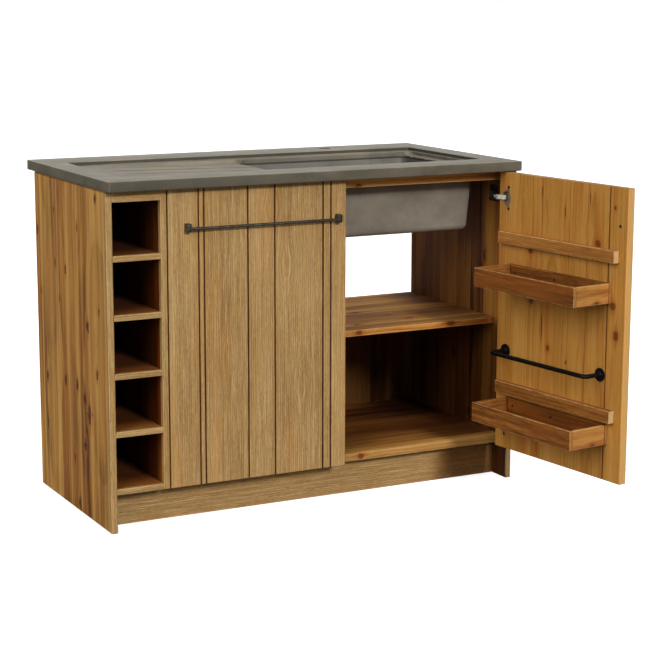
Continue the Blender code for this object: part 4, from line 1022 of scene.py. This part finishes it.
def basin_shell():
    """The bowl as loops in turn: drafted inner wall, round foot, floor to the drain, then back outside to the rim."""
    counts = (70, 50, 70, 50), 14
    top, foot_outside = BASIN_HIGH.z, BASIN_LOW.z
    foot = foot_outside + BASIN_FLOOR
    centre = np.mean((BOWL_X, BOWL_Y), axis=1)
    quarter = np.linspace(0.0, math.pi / 2, 9)
    out, back = 1 - np.cos(quarter), 1 - np.sin(quarter)

    def wall(x, y, corner, bottom):
        """A drafted wall from the top down, and its round foot, as rings."""
        heights = np.linspace(top, bottom + BASIN_FOOT, 6)
        insets = BASIN_DRAFT * (top - heights) / (top - bottom)
        insets = np.concatenate([insets, insets[-1] + BASIN_FOOT * out[1:]])
        return inset_rings(x, y, corner, insets, np.concatenate([heights, bottom + BASIN_FOOT * back[1:]]), counts)

    def towards_drain(flat, radius):
        """The loop's points, each brought to a radius round the drain."""
        reach = flat - centre
        return centre + radius * reach / np.linalg.norm(reach, axis=1, keepdims=True)

    rings = wall(BOWL_X, BOWL_Y, BASIN_CORNER, foot)
    outside = wall((BASIN_LOW.x, BASIN_HIGH.x), (BASIN_LOW.y, BASIN_HIGH.y), BASIN_OUTER_CORNER, foot_outside)
    last, under = rings[-1][:, :2], outside[-1][:, :2]
    brink = towards_drain(last, DRAIN_RADIUS + DRAIN_LIP)
    rings += [lift(last + (brink - last) * share, foot - FLOOR_FALL * share) for share in (0.35, 0.7, 1.0)]
    rings += [lift(towards_drain(last, DRAIN_RADIUS + DRAIN_LIP * back[at]), foot - FLOOR_FALL - DRAIN_LIP * out[at])
              for at in range(2, len(quarter), 2)]
    rings.append(lift(towards_drain(last, DRAIN_RADIUS), foot_outside))
    rings.append(lift(under + (towards_drain(under, DRAIN_RADIUS + 0.01) - under) * 0.5, foot_outside))
    return ring_shell(rings + outside[::-1])


slab = piece("sink_slab", [slab_shell()], "carcass", SLAB_STONE, ("worktop",), 50.0)
flare = [(TAP_RADIUS + 0.003, 0.006), (TAP_RADIUS + 0.0015, 0.0), (TAP_RADIUS, -0.0015), (TAP_RADIUS, -0.05)]
hole_points, hole_faces = turned(flare, 48)
carve(slab, (hole_points + np.array((*TAP_CENTRE, SLAB_HIGH.z)), hole_faces))
piece("sink_basin", [basin_shell()], "carcass", BASIN_STONE, ("sink_bowl",), 50.0)


# ---------------------------------------------------------------- handles, towel rail, hinges and screws

def handle_block(across):
    """An end block: a square with cut corners, drawn in from the door to its front, then domed."""
    half = np.array(HANDLE_BLOCK) / 2
    square = loop((-1.0, 1.0), (-1.0, 1.0), 0.22, (6, 6, 6, 6), 2) * half
    out, size = np.array(HANDLE_PROFILE).T
    flat = square[None] * size[:, None, None]
    depth = (-DOOR_THICK - 0.0002 - out)[:, None]
    return spatial(across + flat[..., 0], depth, HANDLE_Z + HANDLE_BLOCK_RISE + flat[..., 1])


def handle_bar(near, far):
    """The round bar: a tube whose radius wavers by a hundredth, as drawn under the hammer."""
    along = np.linspace(near, far, 150)
    path = spatial(along, -DOOR_THICK - HANDLE_REACH + HANDLE_SINK + HANDLE_BAR, HANDLE_Z)
    radius = HANDLE_BAR * (1.0 + 0.006 * np.sin(along * 40.0) * np.sin(along * 31.0 + 1.0))
    return tube(path, radius, (0.0, 0.0, 1.0), 24)


def handle(side, door):
    """A handle: two end blocks and the bar between them, in one piece."""
    shells = [lofted(handle_block(across)) for across in HANDLE_ENDS] + [handle_bar(*HANDLE_ENDS)]
    shells = [(door.world(points), faces) for points, faces in shells]
    piece(f"{side}_forged_handle", shells, f"{side}_door", DARK_STEEL, (f"{side}_door_handle",), 28.0)


def towel_rail():
    """The rod: a tube out of one flange, round a bend, along the door, round a bend and back to the other."""
    near, far = RAIL_ENDS
    angle = np.linspace(0.0, math.pi / 2, 12)
    first = np.stack((near + RAIL_BEND * (1 - np.cos(angle)), RAIL_REACH - RAIL_BEND * (1 - np.sin(angle))), axis=-1)
    second = np.stack((far + near - first[::-1, 0], first[::-1, 1]), axis=-1)
    flat = np.vstack([((near, 0.004),), ((near, 0.020),), first, second, ((far, 0.020),), ((far, 0.004),)])
    path = lift(flat, RAIL_Z)
    points, faces = tube(path, RAIL_RADIUS, (0.0, 0.0, 1.0), 24)
    piece("towel_rail_tube", [(RIGHT_DOOR.world(points), faces)], "right_door", BLACK_PAINT, ("towel_rail_rod",))
    profile = [(FLANGE_RADIUS * share, height) for share, height in ROSE_PROFILE]
    for end, across in zip(("hinge", "free"), RAIL_ENDS):
        points, faces = turned(profile, 48)
        placed = spatial(across + points[:, 0], points[:, 2], RAIL_Z + points[:, 1])
        piece(f"towel_rail_{end}_rose", [(RIGHT_DOOR.world(placed), faces)], "right_door", BLACK_PAINT,
              (f"towel_rail_{end}_flange",))


def hinge_cup(side, door, level, height):
    """A pressed cup: outside wall, flange, then the dish inside; the flange is a circle with two bell-shaped ears."""
    angle = full_turn(96)
    round_cup = np.stack((np.cos(angle), np.sin(angle)), axis=-1)
    ears = np.arctan2((CUP_SCREW[1], -CUP_SCREW[1]), CUP_SCREW[0])
    away = np.angle(np.exp(1j * (angle[:, None] - ears)))
    reach = CUP_RADIUS + 0.0012 + 0.0165 * np.exp(-(away / 0.21) ** 2).sum(axis=1)
    bow = round_cup * reach[:, None]
    rows = [(round_cup * (CUP_RADIUS - 0.0012), -CUP_DEPTH), (round_cup * CUP_RADIUS, -CUP_DEPTH + 0.001),
            (round_cup * CUP_RADIUS, 0.0003), (bow * 0.995, 0.0003), (bow, 0.0009), (bow * 0.985, 0.0014),
            (round_cup * (CUP_RADIUS + 0.0002), 0.0015), (round_cup * (CUP_RADIUS - 0.0006), 0.0012),
            (round_cup * (CUP_RADIUS - 0.0011), 0.0), (round_cup * (CUP_RADIUS - 0.0013), -CUP_DEPTH + 0.0025),
            (round_cup * (CUP_RADIUS - 0.0030), -CUP_DEPTH + 0.0012)]
    rings = np.array([spatial(CUP_ACROSS + flat[:, 0], off, height + flat[:, 1]) for flat, off in rows])
    points, faces = lofted(rings)
    piece(f"{side}_{level}_hinge_dish", [(door.world(points), faces)], f"{side}_door", PALE_NICKEL_PAINTED_LIGHT,
          (f"{side}_hinge_{level}_cup",))


def hinge_link(side, level, height):
    """A link: an oblong carried along a bent path, narrow in the arm's fork and tall outside it.

    The path is drawn as it stands with the door open; on the shut door it is turned about the arm's pin.
    """
    legs = np.array(((0.0, 0.0), LINK_KNEE, LINK_END))
    lengths = np.linalg.norm(np.diff(legs, axis=0), axis=1)
    ways = np.diff(legs, axis=0) / lengths[:, None]
    start, whole = -0.0034, lengths.sum()
    reach = np.concatenate([start + np.array((0.0, 0.0008, 0.0022, 0.0034, 0.0046, 0.0062, 0.0084)),
                            np.linspace(0.0072, whole - 0.0030, 26), whole - np.array((0.0012, 0.0))])
    first = np.minimum(reach, lengths[0])[:, None] * ways[0]
    plan = first + np.maximum(reach - lengths[0], 0.0)[:, None] * ways[1]
    bend = ramp01(reach, lengths[0] - 0.006, lengths[0] + 0.006)[:, None]
    ahead = ways[0] * (1.0 - bend) + ways[1] * bend
    sideways = np.stack((-ahead[:, 1], ahead[:, 0]), axis=-1)
    sideways /= np.linalg.norm(sideways, axis=1, keepdims=True)
    thick = np.interp(reach, (start, -0.0020, 0.0, 0.0020, 0.0044), (0.0016, 0.0056, 0.0070, 0.0056, 0.0032))
    tall = np.interp(reach, (0.0, 0.0066, 0.0096, whole - 0.003, whole), (0.0062, 0.0062, 0.0122, 0.0122, 0.0096))
    oblong = loop((-1.0, 1.0), (-1.0, 1.0), 0.25, (2, 4, 2, 4), 3) / 2
    flat = plan[:, None] + oblong[None, :, :1] * (thick[:, None] * sideways)[:, None]
    up = height + oblong[None, :, 1] * tall[:, None]
    run, face = (1.0, DIVIDER_HIGH.x) if side == "left" else (-1.0, RIGHT_PANEL_LOW.x)
    pivot = np.array((face + run * LINK_PIVOT[0], FIRST_BOARD_HIGH.y + LINK_PIVOT[1]))
    turn = LINK_RATIO * math.radians(JOINTS["left_door_swing"]["range_deg"][1]) if side == "left" else 0.0
    spin = np.array(((math.cos(turn), -math.sin(turn)), (math.sin(turn), math.cos(turn))))
    placed = pivot + (flat * (run, 1.0)) @ spin.T
    rings = np.concatenate([placed, up[..., None]], axis=-1)
    piece(f"{side}_{level}_hinge_blade", [lofted(rings)], f"{side}_hinge_links", WHITE_NICKEL_PAINTED_LIGHT,
          (f"{side}_hinge_{level}_link",), 30.0)


def screw_head(radius, rise):
    """A domed head with a cross cut in it: rise (1 - (r / R) squared) less the cross, on rings about the axis."""
    share = np.array((0.98, 1.0, 0.99, 0.94, 0.86, 0.74, 0.62, 0.50, 0.38, 0.26, 0.14, 0.05))
    angle = full_turn(48)
    x, y = share[:, None] * np.cos(angle), share[:, None] * np.sin(angle)
    dome = rise * np.concatenate([(0.0, 0.12), (1.0 - 0.75 * share[2:] ** 4)])[:, None]
    cross = np.maximum(ramp01(np.abs(x), 0.20, 0.12), ramp01(np.abs(y), 0.20, 0.12))
    cross = cross * ramp01(np.hypot(x, y), 0.72, 0.58) * np.concatenate([(0.0, 0.0), np.ones(10)])[:, None]
    return spatial(radius * x, radius * y, dome - 0.75 * rise * cross)


def door_screws(name, side, places, off, radius, rise):
    """Screw heads that stand off a plane of a door, at (across, up) places."""
    shells = []
    rings = screw_head(radius, rise)
    for across, up in places:
        points, faces = lofted(spatial(across + rings[..., 0], off + rings[..., 2], up + rings[..., 1]))
        shells.append((DOORS[side].world(points), faces))
    piece(name, shells, f"{side}_door", BLACK_SCREW)


for side, door in DOORS.items():
    handle(side, door)
    for level, height in HINGE_HEIGHTS.items():
        hinge_cup(side, door, level, height)
        hinge_link(side, level, height)
    cup_places = [(CUP_ACROSS + CUP_SCREW[0], height + end * CUP_SCREW[1]) for height in HINGE_HEIGHTS.values()
                  for end in (-1, 1)]
    door_screws(f"{side}_hinge_cup_screws", side, cup_places, 0.0013, 0.0040, 0.0014)
    door_screws(f"{side}_handle_screws", side, [(HANDLE_ENDS[1], HANDLE_Z + 0.003)], 0.0, 0.0042, 0.0012)
towel_rail()
door_screws("tray_screws", "right", TRAY_SCREWS, TRAY_WALL, 0.0034, 0.0012)


# ---------------------------------------------------------------- floor, light and camera

FLOOR_REACH, FLOOR_CELLS, FLOOR_DROP = 40.0, 4, 0.0004
FLOOR_LIT, BLACK = (0.30, 0.30, 0.30, 1.0), (0.0, 0.0, 0.0, 1.0)
SURROUND_LIGHT = 0.06
# The suns: where they stand, their strength and the spread of their light in degrees
SUNS = {"key": ((0.30, -3.34, 1.62), 2.12, 11.0), "fill": ((-3.4, -1.5, 2.2), 2.08, 50.0),
        "side_fill": ((3.5, 1.3, 1.5), 0.8, 40.0)}


def floor():
    """A wide pale floor just under the feet, as one grid of points."""
    side = np.linspace(-FLOOR_REACH, FLOOR_REACH, FLOOR_CELLS + 1)
    x, y = np.meshgrid(side, side, indexing="ij")
    points = spatial(x, y, -FLOOR_DROP).reshape(-1, 3)
    number = np.arange(len(points)).reshape(x.shape)
    quads = np.stack((number[:-1, :-1], number[1:, :-1], number[1:, 1:], number[:-1, 1:]), axis=-1).reshape(-1, 4)
    mesh = bpy.data.meshes.new("floor")
    mesh.from_pydata(points, [], quads.tolist())
    material, b, take = new_material("pale_floor")
    cloud = b.span(b.noise(take["Object"], 3.0, 3.0, 0.5), 0.3, 0.7)
    seen = b.add("ShaderNodeLightPath").outputs["Is Camera Ray"]
    pale = b.mix(cloud, (0.90, 0.90, 0.90, 1.0), (0.93, 0.93, 0.93, 1.0))
    colour = b.mix(seen, FLOOR_LIT, pale)
    shader = b.add("ShaderNodeBsdfPrincipled", {"Base Color": colour, "Roughness": 0.9, "Specular IOR Level": 0.1,
                                                "Emission Color": b.mix(seen, BLACK, pale),
                                                "Emission Strength": 0.75})
    b.add("ShaderNodeOutputMaterial", {"Surface": shader.outputs[0]})
    mesh.materials.append(material)
    made = bpy.data.objects.new("floor", mesh)
    bpy.context.scene.collection.objects.link(made)


def aim(made, place, target):
    """Puts a light at a place and turns it to a target."""
    made.location = place
    made.rotation_euler = (Vector(target) - Vector(place)).to_track_quat("-Z", "Y").to_euler()
    bpy.context.scene.collection.objects.link(made)


def sun(name, place, strength, spread):
    """A far light, aimed at the foot of the cabinet."""
    lamp = bpy.data.lights.new(name, "SUN")
    lamp.energy, lamp.angle = strength, math.radians(spread)
    aim(bpy.data.objects.new(name, lamp), place, (0.0, 0.0, 0.0))


def softbox(name, place, target, size, power):
    """A lit rectangle that the camera doesn't see."""
    lamp = bpy.data.lights.new(name, "AREA")
    lamp.shape, lamp.size, lamp.size_y, lamp.energy = "RECTANGLE", *size, power
    made = bpy.data.objects.new(name, lamp)
    aim(made, place, target)
    made.visible_camera = False


def studio():
    """A soft key in front, a wide fill from the left, a weak one from the right, a glow behind, a pale surround."""
    for name, light in SUNS.items():
        sun(name, *light)
    softbox("back_glow", (0.6, 3.6, 1.9), (0.0, 0.2, 0.9), (5.0, 2.0), 45.0)
    world = bpy.data.worlds.new("studio")
    bpy.context.scene.world = world
    world.use_nodes = True
    world.node_tree.nodes.clear()
    b = Bench(world.node_tree)
    seen = b.add("ShaderNodeLightPath").outputs["Is Camera Ray"]
    strength = b.span(seen, 0.0, 1.0, SURROUND_LIGHT, 1.0, smooth=False)
    sky = b.add("ShaderNodeBackground", {"Color": (1.0, 1.0, 1.0, 1.0), "Strength": strength})
    b.add("ShaderNodeOutputWorld", {"Surface": sky.outputs[0]})


def camera():
    """The camera at the view's place, turned by its yaw, pitch and roll."""
    lens = bpy.data.cameras.new("camera")
    lens.lens, lens.sensor_width, lens.sensor_fit = CAMERA_LENS, 36.0, "HORIZONTAL"
    lens.shift_x, lens.shift_y = CAMERA_SHIFT
    lens.clip_end = 200.0
    made = bpy.data.objects.new("camera", lens)
    made.location = CAMERA_PLACE
    turn = Euler((math.pi / 2 - CAMERA_PITCH, 0.0, -CAMERA_YAW)).to_matrix() @ Matrix.Rotation(CAMERA_ROLL, 3, "Z")
    made.rotation_euler = turn.to_euler()
    bpy.context.scene.collection.objects.link(made)
    bpy.context.scene.camera = made


floor()
studio()
camera()
bpy.context.scene.view_settings.view_transform = "Standard"
